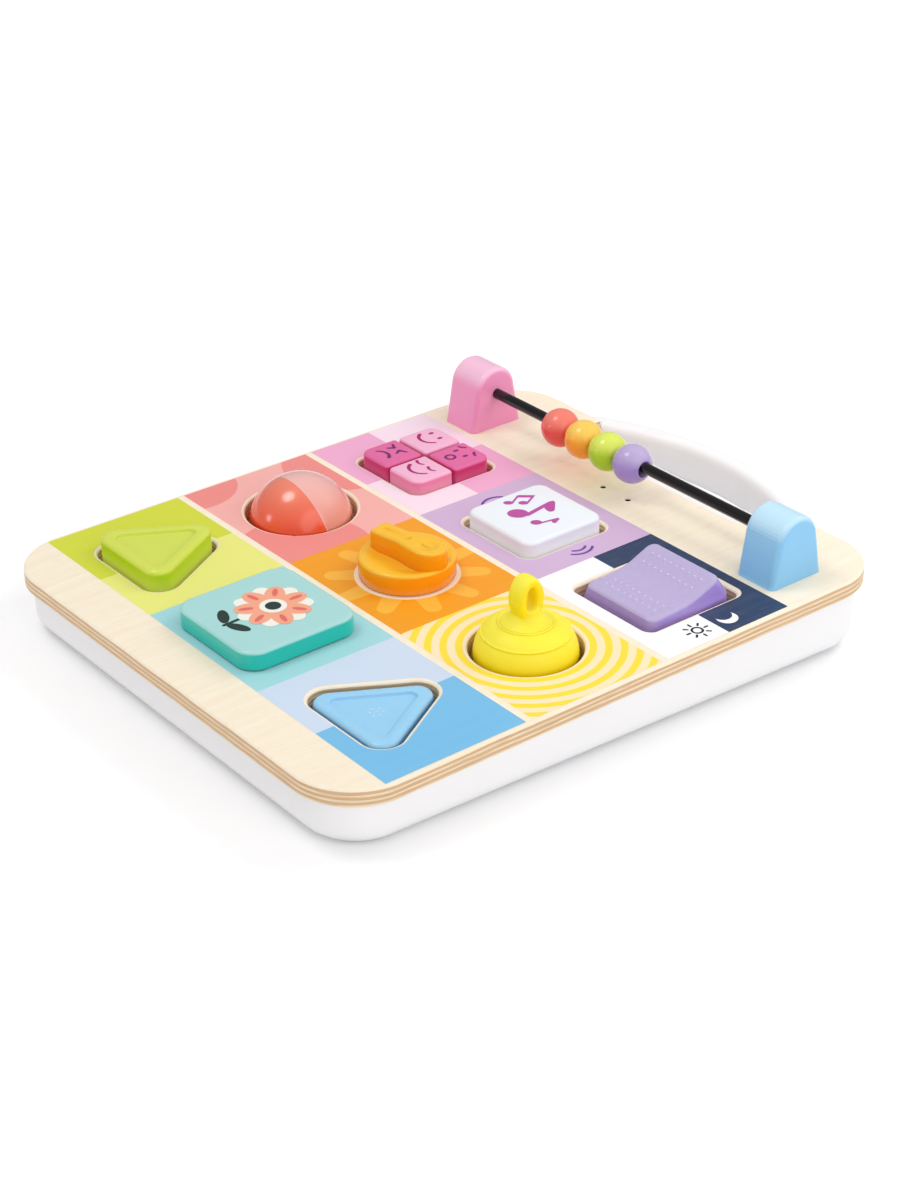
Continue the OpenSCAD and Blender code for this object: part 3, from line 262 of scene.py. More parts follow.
class EffectShelf:
    """Builds each shader group once and places it in materials."""

    soft_edge: float = 0.12 * MM
    ring_edge: float = 0.02
    sway_scale: Spot = (30.0, 9.0, 30.0)
    sway: float = 0.012
    band_scale: Spot = (210.0, 7.0, 210.0)
    fibre_scale: Spot = (1900.0, 40.0, 1900.0)
    pore_scale: Spot = (1300.0, 95.0, 1300.0)
    ply: float = 1.29 * MM
    ply_waver: float = 1.1 * MM
    waver_scale: Spot = (28.0, 28.0, 160.0)
    end_scale: Spot = (70.0, 70.0, 1900.0)
    veneer: Point = (-1.25 * MM, -1.05 * MM)
    cloud_scale: float = 55.0
    peel_scale: float = 900.0
    speck_scale: float = 3400.0
    speck_share: float = 0.3
    gloss_swing: float = 0.12
    turned_scale: Spot = (2500.0, 2500.0, 250.0)
    turned_gloss: Point = (0.22, 0.42)

    def __init__(self) -> None:
        """Start with no group built."""
        self.made: dict[Effect, bpy.types.NodeTree] = {}

    def place(self, graph: Graph, effect: Effect, **values: object) -> Node:
        """Put a group into a material.

        Args:
            graph: The material's graph.
            effect: The group wanted.
            values: Constants or sockets for the group's inputs, with _ for a space.
        Returns:
            The group node.
        """
        if effect not in self.made:
            getattr(self, "build_" + effect.value)()
        return graph.fill(graph.node("ShaderNodeGroup", node_tree=self.made[effect]), **values)

    def start(self, effect: Effect, inputs: str, outputs: str) -> tuple[Graph, bpy.types.NodeOutputs, Node]:
        """Make an empty group with its sockets.

        Args:
            effect: The group's name.
            inputs: The names of what goes in, with spaces between them.
            outputs: The names of what comes out.
        Returns:
            The graph, the sockets that come in and the output node.
        """
        tree = bpy.data.node_groups.new(effect.value, "ShaderNodeTree")
        for way, names in (("INPUT", inputs), ("OUTPUT", outputs)):
            for name in names.split():
                kind = name if name in ("Vector", "Color") else "Float"
                tree.interface.new_socket(name=name, in_out=way, socket_type="NodeSocket" + kind)
        self.made[effect] = tree
        graph = Graph(tree)
        return graph, graph.node("NodeGroupInput").outputs, graph.node("NodeGroupOutput")

    def build_board_place(self) -> None:
        """Build the group that turns a carried-over solid's coordinates into the board frame."""
        graph, _, out = self.start(Effect.BOARD_PLACE, "", "Vector")
        turn = graph.fill(graph.node("ShaderNodeMapping"), Vector=graph.object_place(),
                          Location=BOARD.matrix().inverted().translation, Rotation=(-BOARD.tilt, 0.0, 0.0))
        graph.fill(out, Vector=turn.outputs[0])

    def build_wood_grain(self) -> None:
        """Build the birch face grain: broad bands, fine fibres and short pores."""
        graph, put, out = self.start(Effect.WOOD_GRAIN, "Vector", "Bands Fibres Pores")
        sway = graph.streaks(put["Vector"], self.sway_scale, 1.0)
        shift = graph.fill(graph.node("ShaderNodeCombineXYZ"), X=graph.swing(sway, self.sway))
        bent = graph.node("ShaderNodeVectorMath", operation="ADD")
        graph.feed(bent.inputs[0], put["Vector"])
        graph.feed(bent.inputs[1], shift.outputs[0])
        lines = bent.outputs[0]
        bands = graph.streaks(lines, self.band_scale, 3.0)
        fibres = graph.streaks(lines, self.fibre_scale, 2.0)
        dashes = graph.streaks(lines, self.pore_scale, 0.0)
        graph.fill(out, Bands=graph.span(bands, 0.35, 0.7), Fibres=graph.span(fibres, 0.3, 0.7),
                   Pores=graph.span(dashes, 0.68, 0.76))

    def build_ply_layers(self) -> None:
        """Build the cut edge of the plywood: plies by height, glue lines and end fibres."""
        graph, put, out = self.start(Effect.PLY_LAYERS, "Vector", "Layer Glue Fibres Edge")
        waver = graph.streaks(put["Vector"], self.waver_scale, 3.0)
        depth = graph.math("ADD", graph.parts(put["Vector"])[2], graph.swing(waver, self.ply_waver))
        count = graph.math("DIVIDE", depth, -self.ply)
        turn = graph.math("SINE", graph.math("MULTIPLY", count, math.pi))
        line = graph.math("ABSOLUTE", graph.math("SUBTRACT", graph.math("FRACT", count), 0.5))
        fibres = graph.streaks(put["Vector"], self.end_scale, 3.0)
        graph.fill(out, Layer=graph.span(turn, -0.35, 0.35, 1.0, 0.0), Glue=graph.span(line, 0.43, 0.49),
                   Fibres=graph.span(fibres, 0.42, 0.72), Edge=graph.span(depth, *self.veneer, 1.0, 0.0))

    def build_moulding(self) -> None:
        """Build the moulded plastic skin: cloudy tone, uneven gloss and a fine orange peel."""
        graph, put, out = self.start(Effect.MOULDING, "Color Gloss Cloud", "Color Roughness Height")
        place = graph.object_place()
        cloud = graph.noise(place, self.cloud_scale, 3.0)
        peel = graph.noise(place, self.peel_scale, 2.0)
        speck = graph.noise(place, self.speck_scale, 1.0)
        level = graph.math("ADD", 1.0, graph.swing(cloud, put["Cloud"]))
        grey = graph.node("ShaderNodeCombineColor")
        for slot in grey.inputs:
            graph.feed(slot, level)
        uneven = graph.swing(cloud, self.gloss_swing)
        graph.fill(out, Color=graph.mix(1.0, put["Color"], grey.outputs[0], "MULTIPLY"),
                   Roughness=graph.math("ADD", put["Gloss"], uneven, True),
                   Height=graph.math("ADD", peel, graph.math("MULTIPLY", speck, self.speck_share)))

    def build_spot(self) -> None:
        """Build a printed round spot."""
        graph, put, out = self.start(Effect.SPOT, "Vector X Y Radius", "Mask")
        away = self.distance(graph, put["Vector"], put["X"], put["Y"])[0]
        inside = graph.math("SUBTRACT", put["Radius"], away)
        graph.fill(out, Mask=graph.span(inside, -self.soft_edge, self.soft_edge))

    def build_ripples(self) -> None:
        """Build printed rings round a middle."""
        graph, put, out = self.start(Effect.RIPPLES, "Vector X Y First Pitch Share", "Mask")
        away = self.distance(graph, put["Vector"], put["X"], put["Y"])[0]
        count = graph.math("DIVIDE", graph.math("SUBTRACT", away, put["First"]), put["Pitch"])
        half = graph.math("MULTIPLY", put["Share"], 0.5)
        off = graph.math("ABSOLUTE", graph.math("SUBTRACT", graph.math("FRACT", count), half))
        inside = graph.math("SUBTRACT", half, off)
        graph.fill(out, Mask=graph.span(inside, -self.ring_edge, self.ring_edge))

    def build_sun_rays(self) -> None:
        """Build printed tapered rays with round ends."""
        graph, put, out = self.start(Effect.SUN_RAYS, "Vector X Y Count Turn Reach Width Taper", "Mask")
        away, east, north = self.distance(graph, put["Vector"], put["X"], put["Y"])
        angle = graph.math("SUBTRACT", graph.math("ARCTAN2", north, east), put["Turn"])
        step = graph.math("DIVIDE", 2.0 * math.pi, put["Count"])
        steps = graph.math("DIVIDE", angle, step)
        lean = graph.math("MULTIPLY", graph.math("SUBTRACT", steps, graph.math("ROUND", steps)), step)
        along = graph.math("MULTIPLY", away, graph.math("COSINE", lean))
        aside = graph.math("ABSOLUTE", graph.math("MULTIPLY", away, graph.math("SINE", lean)))
        half = graph.math("SUBTRACT", put["Width"], graph.math("MULTIPLY", along, put["Taper"]))
        past = graph.math("MAXIMUM", graph.math("SUBTRACT", along, put["Reach"]), 0.0)
        inside = graph.math("SUBTRACT", half, graph.length(past, aside))
        graph.fill(out, Mask=graph.span(inside, -self.soft_edge, self.soft_edge))

    def build_brushing(self) -> None:
        """Build fine turned lines on metal."""
        graph, _, out = self.start(Effect.BRUSHING, "", "Roughness Height")
        lines = graph.streaks(graph.object_place(), self.turned_scale, 3.0)
        graph.fill(out, Roughness=graph.span(lines, 0.3, 0.7, *self.turned_gloss), Height=lines)

    def distance(self, graph: Graph, vector: Socket, x: Value, y: Value) -> tuple[Socket, Socket, Socket]:
        """Measure from a middle on the panel.

        Args:
            graph: The group's graph.
            vector: The place on the panel, in metres.
            x: The middle's distance across.
            y: The middle's distance along.
        Returns:
            The distance, and its parts across and along.
        """
        across, along, _ = graph.parts(vector)
        east = graph.math("SUBTRACT", across, x)
        north = graph.math("SUBTRACT", along, y)
        return graph.length(east, north), east, north


SHELF = EffectShelf()


# Finishes

@dataclass(frozen=True)
class Finish:
    """A surface finish: a name and a material built from nodes."""

    name: str

    def material(self) -> bpy.types.Material:
        """Give the material, built once.

        Returns:
            The material.
        """
        known = bpy.data.materials.get(self.name)
        if known:
            return known
        made = bpy.data.materials.new(self.name)
        made.use_nodes = True
        self.wire(Graph(made.node_tree))
        return made

    def wire(self, graph: Graph) -> None:
        """Join the finish's nodes to the shader."""
        raise NotImplementedError

    def bump(self, graph: Graph, height: Socket, depth: float) -> None:
        """Join a height in 0 to 1, whose full depth is in metres, to the shader's normal."""
        made = graph.fill(graph.node("ShaderNodeBump"), Distance=depth, Height=height)
        graph.fill(graph.shader, Normal=made.outputs[0])

    def skin(self, graph: Graph, tone: object, gloss: float, cloud: float) -> Node:
        """Join the moulded skin's colour and gloss to the shader.

        Args:
            graph: The material's graph.
            tone: The colour, or its socket.
            gloss: The roughness.
            cloud: How cloudy the colour is.
        Returns:
            The skin's group node.
        """
        made = SHELF.place(graph, Effect.MOULDING, Color=tone, Gloss=gloss, Cloud=cloud)
        graph.fill(graph.shader, Base_Color=made.outputs["Color"], Roughness=made.outputs["Roughness"])
        return made


@dataclass(frozen=True)
class Moulded(Finish):
    """Injection-moulded plastic; a given flank tone paints shade: deeper flanks under a lighter lit top."""

    tone: Tone
    shaded_flank: Optional[Tone] = None
    gloss: float = 0.26
    cloud: float = 0.05
    coat: float = 0.0
    glow: float = 0.0
    ior: float = 1.36
    coat_gloss: float = 0.14
    glow_spread: Spot = (1.0, 0.6, 0.4)
    glow_depth: float = 2.5 * MM
    shade_rise: Point = (0.1, 0.6)
    peel: float = 0.012 * MM

    def wire(self, graph: Graph) -> None:
        """Join the moulded skin to the shader.

        Args:
            graph: The material's graph.
        """
        skin = self.skin(graph, self.ground(graph), self.gloss, self.cloud)
        graph.fill(graph.shader, IOR=self.ior, Coat_Weight=self.coat, Coat_Roughness=self.coat_gloss,
                   Subsurface_Weight=self.glow, Subsurface_Radius=self.glow_spread,
                   Subsurface_Scale=self.glow_depth)
        self.bump(graph, skin.outputs["Height"], self.peel)

    def ground(self, graph: Graph) -> object:
        """Paint shade and light by mixing from the deeper flank tone to the lighter top tone as the surface
        turns up.

        Args:
            graph: The material's graph.
        Returns:
            The tone, or the socket of the mixed one.
        """
        if self.shaded_flank is None:
            return self.tone
        # painted shade and light: flanks take the deeper tone, upward faces the lighter lit tone
        up = graph.parts(graph.node("ShaderNodeTexCoord").outputs["Normal"])[2]
        return graph.mix(graph.span(up, *self.shade_rise), self.shaded_flank, self.tone)


@dataclass(frozen=True)
class TintedDome(Finish):
    """The dome's two tints, which meet in a leaning seam, each painted paler towards its top, with a painted
    highlight along the seam and a painted pale sheen at the rim.
    """

    y: float
    # the _high tints paint each half paler towards the top, a painted highlight from the light above
    near_low: Tone = Tone(255, 84, 38)
    near_high: Tone = Tone(253, 142, 114)
    far_low: Tone = Tone(250, 158, 136)
    far_high: Tone = Tone(253, 194, 187)
    # rim and the sheen fields paint a pale sheen at the rim; the seam tone paints a highlight line along the
    # seam
    rim: Tone = Tone(255, 232, 230)
    sheen_facing: Point = (0.84, 0.97)
    sheen_weight: float = 0.7
    seam_highlight: Tone = Tone(252, 214, 206)
    seam_y: float = -2.7
    seam_lean: float = 0.192
    seam_soft: float = 0.08 * MM
    highlight_half: Point = (0.12 * MM, 0.36 * MM)
    highlight_weight: float = 0.6
    top: float = 19.6
    gloss: float = 0.24
    cloud: float = 0.02
    ior: float = 1.5
    coat: float = 1.0
    coat_gloss: float = 0.19
    clear: float = 0.1

    def wire(self, graph: Graph) -> None:
        """Join the tints with their painted paler tops, the painted seam highlight and the painted rim sheen to
        the shader.

        Args:
            graph: The material's graph.
        """
        _, along, height = graph.parts(SHELF.place(graph, Effect.BOARD_PLACE).outputs[0])
        lean = graph.math("MULTIPLY", height, self.seam_lean)
        behind = graph.math("ADD", graph.math("SUBTRACT", along, (self.y + self.seam_y) * MM), lean)
        # painted light: each tint grows paler towards the dome's top
        share = graph.span(height, 0.0, self.top * MM)
        near = graph.mix(share, self.near_low, self.near_high)
        far = graph.mix(share, self.far_low, self.far_high)
        tone = graph.mix(graph.span(behind, -self.seam_soft, self.seam_soft), near, far)
        # painted highlight: a pale line along the seam
        line = graph.span(graph.math("ABSOLUTE", behind), *self.highlight_half, self.highlight_weight, 0.0)
        tone = graph.mix(line, tone, self.seam_highlight)
        # painted sheen: a pale rim where the surface turns away from view
        facing = graph.node("ShaderNodeLayerWeight").outputs["Facing"]
        tone = graph.mix(graph.span(facing, *self.sheen_facing, 0.0, self.sheen_weight), tone, self.rim)
        self.skin(graph, tone, self.gloss, self.cloud)
        graph.fill(graph.shader, IOR=self.ior, Coat_Weight=self.coat, Coat_Roughness=self.coat_gloss,
                   Transmission_Weight=self.clear)


@dataclass(frozen=True)
class Plywood(Finish):
    """Birch plywood with a pale face and layered edges."""

    face: Tone = Tone(252, 240, 219)
    band: Tone = Tone(244, 223, 188)
    pore: Tone = Tone(214, 178, 134)
    pale_ply: Tone = Tone(243, 222, 190)
    dark_ply: Tone = Tone(220, 180, 134)
    streak: Tone = Tone(190, 140, 92)
    glue: Tone = Tone(150, 102, 64)
    band_weight: float = 0.36
    fibre_weight: float = 0.14
    pore_weight: float = 0.16
    streak_weight: float = 0.5
    glue_weight: float = 0.5
    glue_sink: float = 0.8
    gloss: Point = (0.42, 0.56)
    fibre_depth: float = 0.03 * MM

    def wire(self, graph: Graph) -> None:
        """Join the face grain and the layers to the shader.

        Args:
            graph: The material's graph.
        """
        place = SHELF.place(graph, Effect.BOARD_PLACE).outputs[0]
        grain = SHELF.place(graph, Effect.WOOD_GRAIN, Vector=place).outputs
        layers = SHELF.place(graph, Effect.PLY_LAYERS, Vector=place).outputs
        face = graph.cover(self.face, grain["Bands"], self.band_weight, self.band)
        face = graph.cover(face, grain["Fibres"], self.fibre_weight, self.band)
        face = graph.cover(face, grain["Pores"], self.pore_weight, self.pore)
        edge = graph.mix(layers["Layer"], self.pale_ply, self.dark_ply)
        edge = graph.cover(edge, layers["Fibres"], self.streak_weight, self.streak)
        edge = graph.cover(edge, layers["Glue"], self.glue_weight, self.glue)
        graph.fill(graph.shader, Base_Color=graph.mix(layers["Edge"], face, edge),
                   Roughness=graph.span(grain["Fibres"], 0.0, 1.0, *self.gloss))
        sunk = graph.math("MULTIPLY", layers["Glue"], self.glue_sink)
        self.bump(graph, graph.math("SUBTRACT", grain["Fibres"], sunk), self.fibre_depth)


@dataclass(frozen=True)
class Metal(Finish):
    """Turned steel."""

    tone: Tone
    line_depth: float = 0.01 * MM

    def wire(self, graph: Graph) -> None:
        """Join the turned lines to the shader.

        Args:
            graph: The material's graph.
        """
        lines = SHELF.place(graph, Effect.BRUSHING).outputs
        graph.fill(graph.shader, Base_Color=self.tone, Metallic=1.0, Roughness=lines["Roughness"])
        self.bump(graph, lines["Height"], self.line_depth)


@dataclass(frozen=True)
class CircuitBoard(Finish):
    """Solder mask with copper tracks under it."""

    mask: Tone = Tone(38, 110, 66)
    track: Tone = Tone(74, 150, 92)
    scale: Spot = (120.0, 120.0, 1.0)
    gap: float = 0.04
    gloss: Point = (0.3, 0.4)
    track_depth: float = 0.04 * MM

    def wire(self, graph: Graph) -> None:
        """Join the tracks to the shader.

        Args:
            graph: The material's graph.
        """
        place = SHELF.place(graph, Effect.BOARD_PLACE).outputs[0]
        bricks = graph.fill(graph.node("ShaderNodeTexBrick"), Vector=graph.stretched(place, self.scale),
                            Mortar_Size=self.gap, Scale=1.0)
        tracks = bricks.outputs["Fac"]
        graph.fill(graph.shader, Base_Color=graph.mix(tracks, self.mask, self.track),
                   Roughness=graph.span(tracks, 0.0, 1.0, *self.gloss))
        self.bump(graph, tracks, self.track_depth)


@dataclass(frozen=True)
class CellSleeve(Finish):
    """A cell's printed sleeve with a band at one end."""

    sleeve: Tone = Tone(60, 66, 74)
    band: Tone = Tone(214, 150, 60)
    band_x: Point = (11.0 * MM, 11.2 * MM)
    gloss: float = 0.3
    cloud: float = 0.06

    def wire(self, graph: Graph) -> None:
        """Join the sleeve's band to the shader.

        Args:
            graph: The material's graph.
        """
        across = graph.parts(SHELF.place(graph, Effect.BOARD_PLACE).outputs[0])[0]
        tone = graph.mix(graph.span(across, *self.band_x), self.sleeve, self.band)
        self.skin(graph, tone, self.gloss, self.cloud)


class Pattern(Enum):
    """What a tile's print shows."""

    PLAIN = "plain"
    SPLIT = "split"
    CHECKER = "checker"
    RAYS = "rays"
    RIPPLES = "ripples"
    SPOTS = "spots"
    DAY_NIGHT = "day_night"


@dataclass(frozen=True)
class PrintInk(Finish):
    """Ink on the wood, with the grain faintly through it."""

    ground: Tone
    second: Tone
    pattern: Pattern
    x: float
    y: float
    spots: tuple[Spot, ...] = ()
    band_weight: float = 0.025
    pore_weight: float = 0.05
    gloss: Point = (0.36, 0.46)
    shine: float = 0.3
    fibre_depth: float = 0.015 * MM
    ray_count: float = 10.0
    ray_turn: float = math.radians(18.0)
    ray_reach: float = 38.2 * MM
    ray_half: float = 7.7 * MM
    ray_taper: float = 0.085
    ring_first: float = 30.5 * MM
    ring_pitch: float = 7.5 * MM
    ring_share: float = 0.48

    def wire(self, graph: Graph) -> None:
        """Join the print's pattern and the grain to the shader.

        Args:
            graph: The material's graph.
        """
        place = graph.object_place()
        grain = SHELF.place(graph, Effect.WOOD_GRAIN, Vector=place).outputs
        mask = self.mask(graph, place)
        tone = self.ground if mask is None else graph.mix(mask, self.ground, self.second)
        tone = graph.cover(tone, grain["Bands"], self.band_weight, Plywood.band)
        tone = graph.cover(tone, grain["Pores"], self.pore_weight, Plywood.pore)
        graph.fill(graph.shader, Base_Color=tone, Specular_IOR_Level=self.shine,
                   Roughness=graph.span(grain["Fibres"], 0.0, 1.0, *self.gloss))
        self.bump(graph, grain["Fibres"], self.fibre_depth)

    def mask(self, graph: Graph, place: Socket) -> Optional[Socket]:
        """Give where the second ink shows.

        Args:
            graph: The material's graph.
            place: The place on the panel, in metres.
        Returns:
            The mask, or None on a plain tile.
        """
        if self.pattern is Pattern.PLAIN:
            return None
        middle = {"Vector": place, "X": self.x * MM, "Y": self.y * MM}
        if self.pattern is Pattern.RAYS:
            return SHELF.place(graph, Effect.SUN_RAYS, **middle, Count=self.ray_count, Turn=self.ray_turn,
                               Reach=self.ray_reach, Width=self.ray_half, Taper=self.ray_taper).outputs[0]
        if self.pattern is Pattern.RIPPLES:
            return SHELF.place(graph, Effect.RIPPLES, **middle, First=self.ring_first, Pitch=self.ring_pitch,
                               Share=self.ring_share).outputs[0]
        if self.pattern is Pattern.SPOTS:
            mask: Value = 0.0
            for x, y, radius in self.spots:
                spot = SHELF.place(graph, Effect.SPOT, Vector=place, X=x * MM, Y=y * MM, Radius=radius * MM)
                mask = graph.math("MAXIMUM", mask, spot.outputs[0])
            return mask
        return self.halves(graph, place)

    def halves(self, graph: Graph, place: Socket) -> Socket:
        """Give where the second ink shows on a tile that is parted through its middle.

        Args:
            graph: The material's graph.
            place: The place on the panel, in metres.
        Returns:
            The mask.
        """
        across, along, _ = graph.parts(place)
        east = graph.math("GREATER_THAN", across, self.x * MM)
        north = graph.math("GREATER_THAN", along, self.y * MM)
        if self.pattern is Pattern.SPLIT:
            return east
        if self.pattern is Pattern.DAY_NIGHT:
            return north
        return graph.math("ABSOLUTE", graph.math("SUBTRACT", east, graph.math("SUBTRACT", 1.0, north)))


@dataclass(frozen=True)
class StudioFloor(Finish):
    """A pale floor that the camera sees as white, with the object's shadow on it."""

    tone: Tone = Tone(246, 246, 247)
    near_lift: float = 0.1
    far_lift: float = 0.4
    near: float = 0.2
    far: float = 0.8
    cloud: float = 0.01
    dullness: float = 0.9

    def wire(self, graph: Graph) -> None:
        """Join a faint cloud to the shader, and a lift for the camera alone that grows outwards.

        Args:
            graph: The material's graph.
        """
        skin = SHELF.place(graph, Effect.MOULDING, Color=self.tone, Cloud=self.cloud)
        away = SHELF.distance(graph, graph.object_place(), 0.0, 0.0)[0]
        lift = graph.span(away, self.near, self.far, self.near_lift, self.far_lift)
        seen = graph.node("ShaderNodeLightPath").outputs["Is Camera Ray"]
        graph.fill(graph.shader, Base_Color=skin.outputs["Color"], Roughness=self.dullness,
                   Specular_IOR_Level=0.0, Emission_Color=(1.0, 1.0, 1.0, 1.0),
                   Emission_Strength=graph.math("MULTIPLY", seen, lift))


def glossy(name: str, tone: Tone, shaded_flank: Tone, coat: float = 0.3, glow: float = 0.0) -> Moulded:
    """Make a polished moulding with painted shade: a deeper tone on its flanks under a lighter lit top."""
    return Moulded(name, tone, shaded_flank=shaded_flank, gloss=0.2, coat=coat, glow=glow)


WHITE_SHELL = Moulded("white_shell_skin", Tone(245, 244, 245), gloss=0.34, cloud=0.02)
WOOD = Plywood("birch_plywood")
STEEL = Metal("turned_steel", Tone(190, 190, 194))
CONTACT = Metal("contact_spring", Tone(205, 198, 180))
RUBBER = Moulded("foot_rubber_skin", Tone(70, 72, 76), gloss=0.75, cloud=0.08)
KEYPAD = Moulded("keypad_silicone", Tone(205, 208, 212), gloss=0.6, cloud=0.05)
SPEAKER = Moulded("speaker_cone", Tone(34, 34, 36), gloss=0.5, cloud=0.1)
BUSH = Moulded("bush_nylon_skin", Tone(232, 229, 220), gloss=0.4)
# Painted shade and light: in each pair below, the first tone is the lit top and the second a painted deeper
# shade on the flanks.
PINK_POST = glossy("pink_post_gloss", Tone(244, 192, 218), Tone(240, 150, 193))
BLUE_POST = glossy("sky_post_gloss", Tone(192, 228, 249), Tone(138, 199, 239))
ROD = Moulded("black_rod_gloss", Tone(12, 12, 15), gloss=0.22, cloud=0.1, coat=0.4)
RED_BEAD = glossy("red_bead_gloss", Tone(242, 128, 112), Tone(230, 80, 72), coat=0.5)
ORANGE_BEAD = glossy("orange_bead_gloss", Tone(252, 204, 92), Tone(250, 156, 24), coat=0.5)
LIME_BEAD = glossy("lime_bead_gloss", Tone(220, 232, 98), Tone(172, 208, 16), coat=0.5)
LAVENDER_BEAD = glossy("lavender_bead_gloss", Tone(188, 170, 214), Tone(162, 136, 204), coat=0.5)
LIME_CAP = glossy("lime_cap_gloss", Tone(212, 224, 88), Tone(174, 205, 6), glow=0.1)
BLUE_CAP = glossy("blue_cap_gloss", Tone(156, 210, 243), Tone(92, 168, 234), glow=0.1)
TEAL_TILE = glossy("teal_tile_gloss", Tone(170, 218, 216), Tone(36, 190, 176))
DOME_LENS = TintedDome("dome_lens_gloss", BOARD.tile(0, 1)[1])
DOME_LINER = Moulded("dome_liner_skin", Tone(240, 96, 92), gloss=0.3)
KNOB = glossy("orange_knob_gloss", Tone(250, 192, 50), Tone(254, 158, 6))
# Painted shade and light: the flank tone is painted deeper shade on the flanks, the first tone the lighter lit
# top.
SILICONE = Moulded("yellow_silicone_skin", Tone(255, 238, 70), shaded_flank=Tone(255, 226, 8), gloss=0.42,
                   cloud=0.04, glow=0.2)
PALE_FACE = Moulded("pale_face_gloss", Tone(243, 182, 210), shaded_flank=Tone(233, 126, 166), gloss=0.24,
                    coat=0.2, glow=0.1)
DEEP_FACE = Moulded("deep_face_gloss", Tone(225, 106, 160), shaded_flank=Tone(198, 46, 104), gloss=0.24, coat=0.2)
MUSIC_CAP = Moulded("music_cap_gloss", Tone(238, 242, 248), shaded_flank=Tone(230, 229, 241), gloss=0.22,
                    cloud=0.02, coat=0.3)
LILAC = Moulded("lilac_rocker_gloss", Tone(188, 175, 214), shaded_flank=Tone(170, 144, 228), gloss=0.28,
                coat=0.3, glow=0.1)
# painted highlight: the dots are painted lighter than the surface round them
LIT_LILAC_DOT = Moulded("lilac_dot_highlight", Tone(208, 197, 230), gloss=0.24, coat=0.2)
LIT_BLUE_DOT = Moulded("blue_dot_highlight", Tone(186, 226, 249), gloss=0.24, coat=0.2)
# painted shade: a dark disc laid in each sound hole
HOLE_SHADE = Moulded("hole_shade_matte", Tone(46, 30, 18), gloss=0.8, cloud=0.3)
MAGENTA_INK = Moulded("magenta_ink", Tone(172, 22, 112), gloss=0.4, cloud=0.08)
PLUM_INK = Moulded("plum_ink", Tone(118, 40, 112), gloss=0.4, cloud=0.08)
VIOLET_INK = Moulded("violet_ink", Tone(112, 66, 158), gloss=0.42, cloud=0.08)
NOTE_INK = Moulded("note_ink", Tone(186, 82, 160), gloss=0.36, cloud=0.06)
DARK_INK = Moulded("dark_ink", Tone(38, 44, 52), gloss=0.42, cloud=0.1)
WHITE_INK = Moulded("white_ink", Tone(250, 250, 250), gloss=0.42, cloud=0.03)
CORAL_INK = Moulded("coral_ink", Tone(244, 168, 136), gloss=0.36, cloud=0.05)
ROSE_INK = Moulded("rose_ink", Tone(228, 110, 104), gloss=0.36, cloud=0.05)
CREAM_INK = Moulded("cream_ink", Tone(242, 240, 230), gloss=0.36, cloud=0.03)
PINE_INK = Moulded("pine_ink", Tone(40, 62, 58), gloss=0.36, cloud=0.08)


# Carried-over solids

class Carcass:
    """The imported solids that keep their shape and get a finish."""

    finishes: dict[str, Finish] = {
        "base_tray": WHITE_SHELL, "upper_shell": WHITE_SHELL, "battery_door": WHITE_SHELL,
        "top_board": WOOD, "rubber_feet": RUBBER,
        "tray_screws": STEEL, "panel_screws": STEEL, "door_screw": STEEL, "pcb_screws": STEEL,
        "post_screws": STEEL, "spinner_washer": STEEL, "spinner_screw": STEEL, "knob_washer": STEEL,
        "knob_screw": STEEL, "seesaw_pin": STEEL, "rocker_pin": STEEL,
        "battery_cells": CellSleeve("cell_sleeve_print"), "battery_contacts": CONTACT,
        "circuit_board": CircuitBoard("main_circuit"), "light_board": CircuitBoard("light_circuit"),
        "button_pad": KEYPAD, "speaker": SPEAKER, "post_left": PINK_POST, "post_right": BLUE_POST,
        "abacus_rod": ROD, "spinner_bush": BUSH, "knob_bush": BUSH, "seesaw_lever": BUSH,
        "bead_red": RED_BEAD, "bead_orange": ORANGE_BEAD, "bead_lime": LIME_BEAD,
        "bead_lavender": LAVENDER_BEAD, "green_triangle": LIME_CAP, "blue_triangle": BLUE_CAP,
        "spinner_tile": TEAL_TILE, "dome_lens": DOME_LENS, "dome_liner": DOME_LINER, "turn_knob": KNOB,
        "silicone_pull": SILICONE, "smile_button": PALE_FACE, "sleepy_button": PALE_FACE,
        "surprised_button": DEEP_FACE, "grumpy_button": DEEP_FACE, "music_button": MUSIC_CAP,
        "day_night_rocker": LILAC,
    }

    def dress(self) -> None:
        """Put each finish on its solid."""
        for name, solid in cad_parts.items():
            solid.data.materials.clear()
            solid.data.materials.append(self.finishes[name].material())
            LOG.info("dressed %s", name)


# Flat inks

def arc_points(x: float, y: float, radius: float, start: float, end: float, steps: int = 24) -> Loop:
    """Give points along an arc.

    Args:
        x: The middle's distance across, in millimetres.
        y: The middle's distance along, in millimetres.
        radius: The arc's radius.
        start: The first angle, in degrees.
        end: The last angle, in degrees.
        steps: How many steps lie between them.
    Returns:
        The points in order.
    """
    angles = [math.radians(start + (end - start) * i / steps) for i in range(steps + 1)]
    return [(x + radius * math.cos(a), y + radius * math.sin(a)) for a in angles]


def circle_points(x: float, y: float, radius: float, steps: int = 48) -> Loop:
    """Give points round a full circle, the first of them only once."""
    return arc_points(x, y, radius, 0.0, 360.0 - 360.0 / steps, steps - 1)


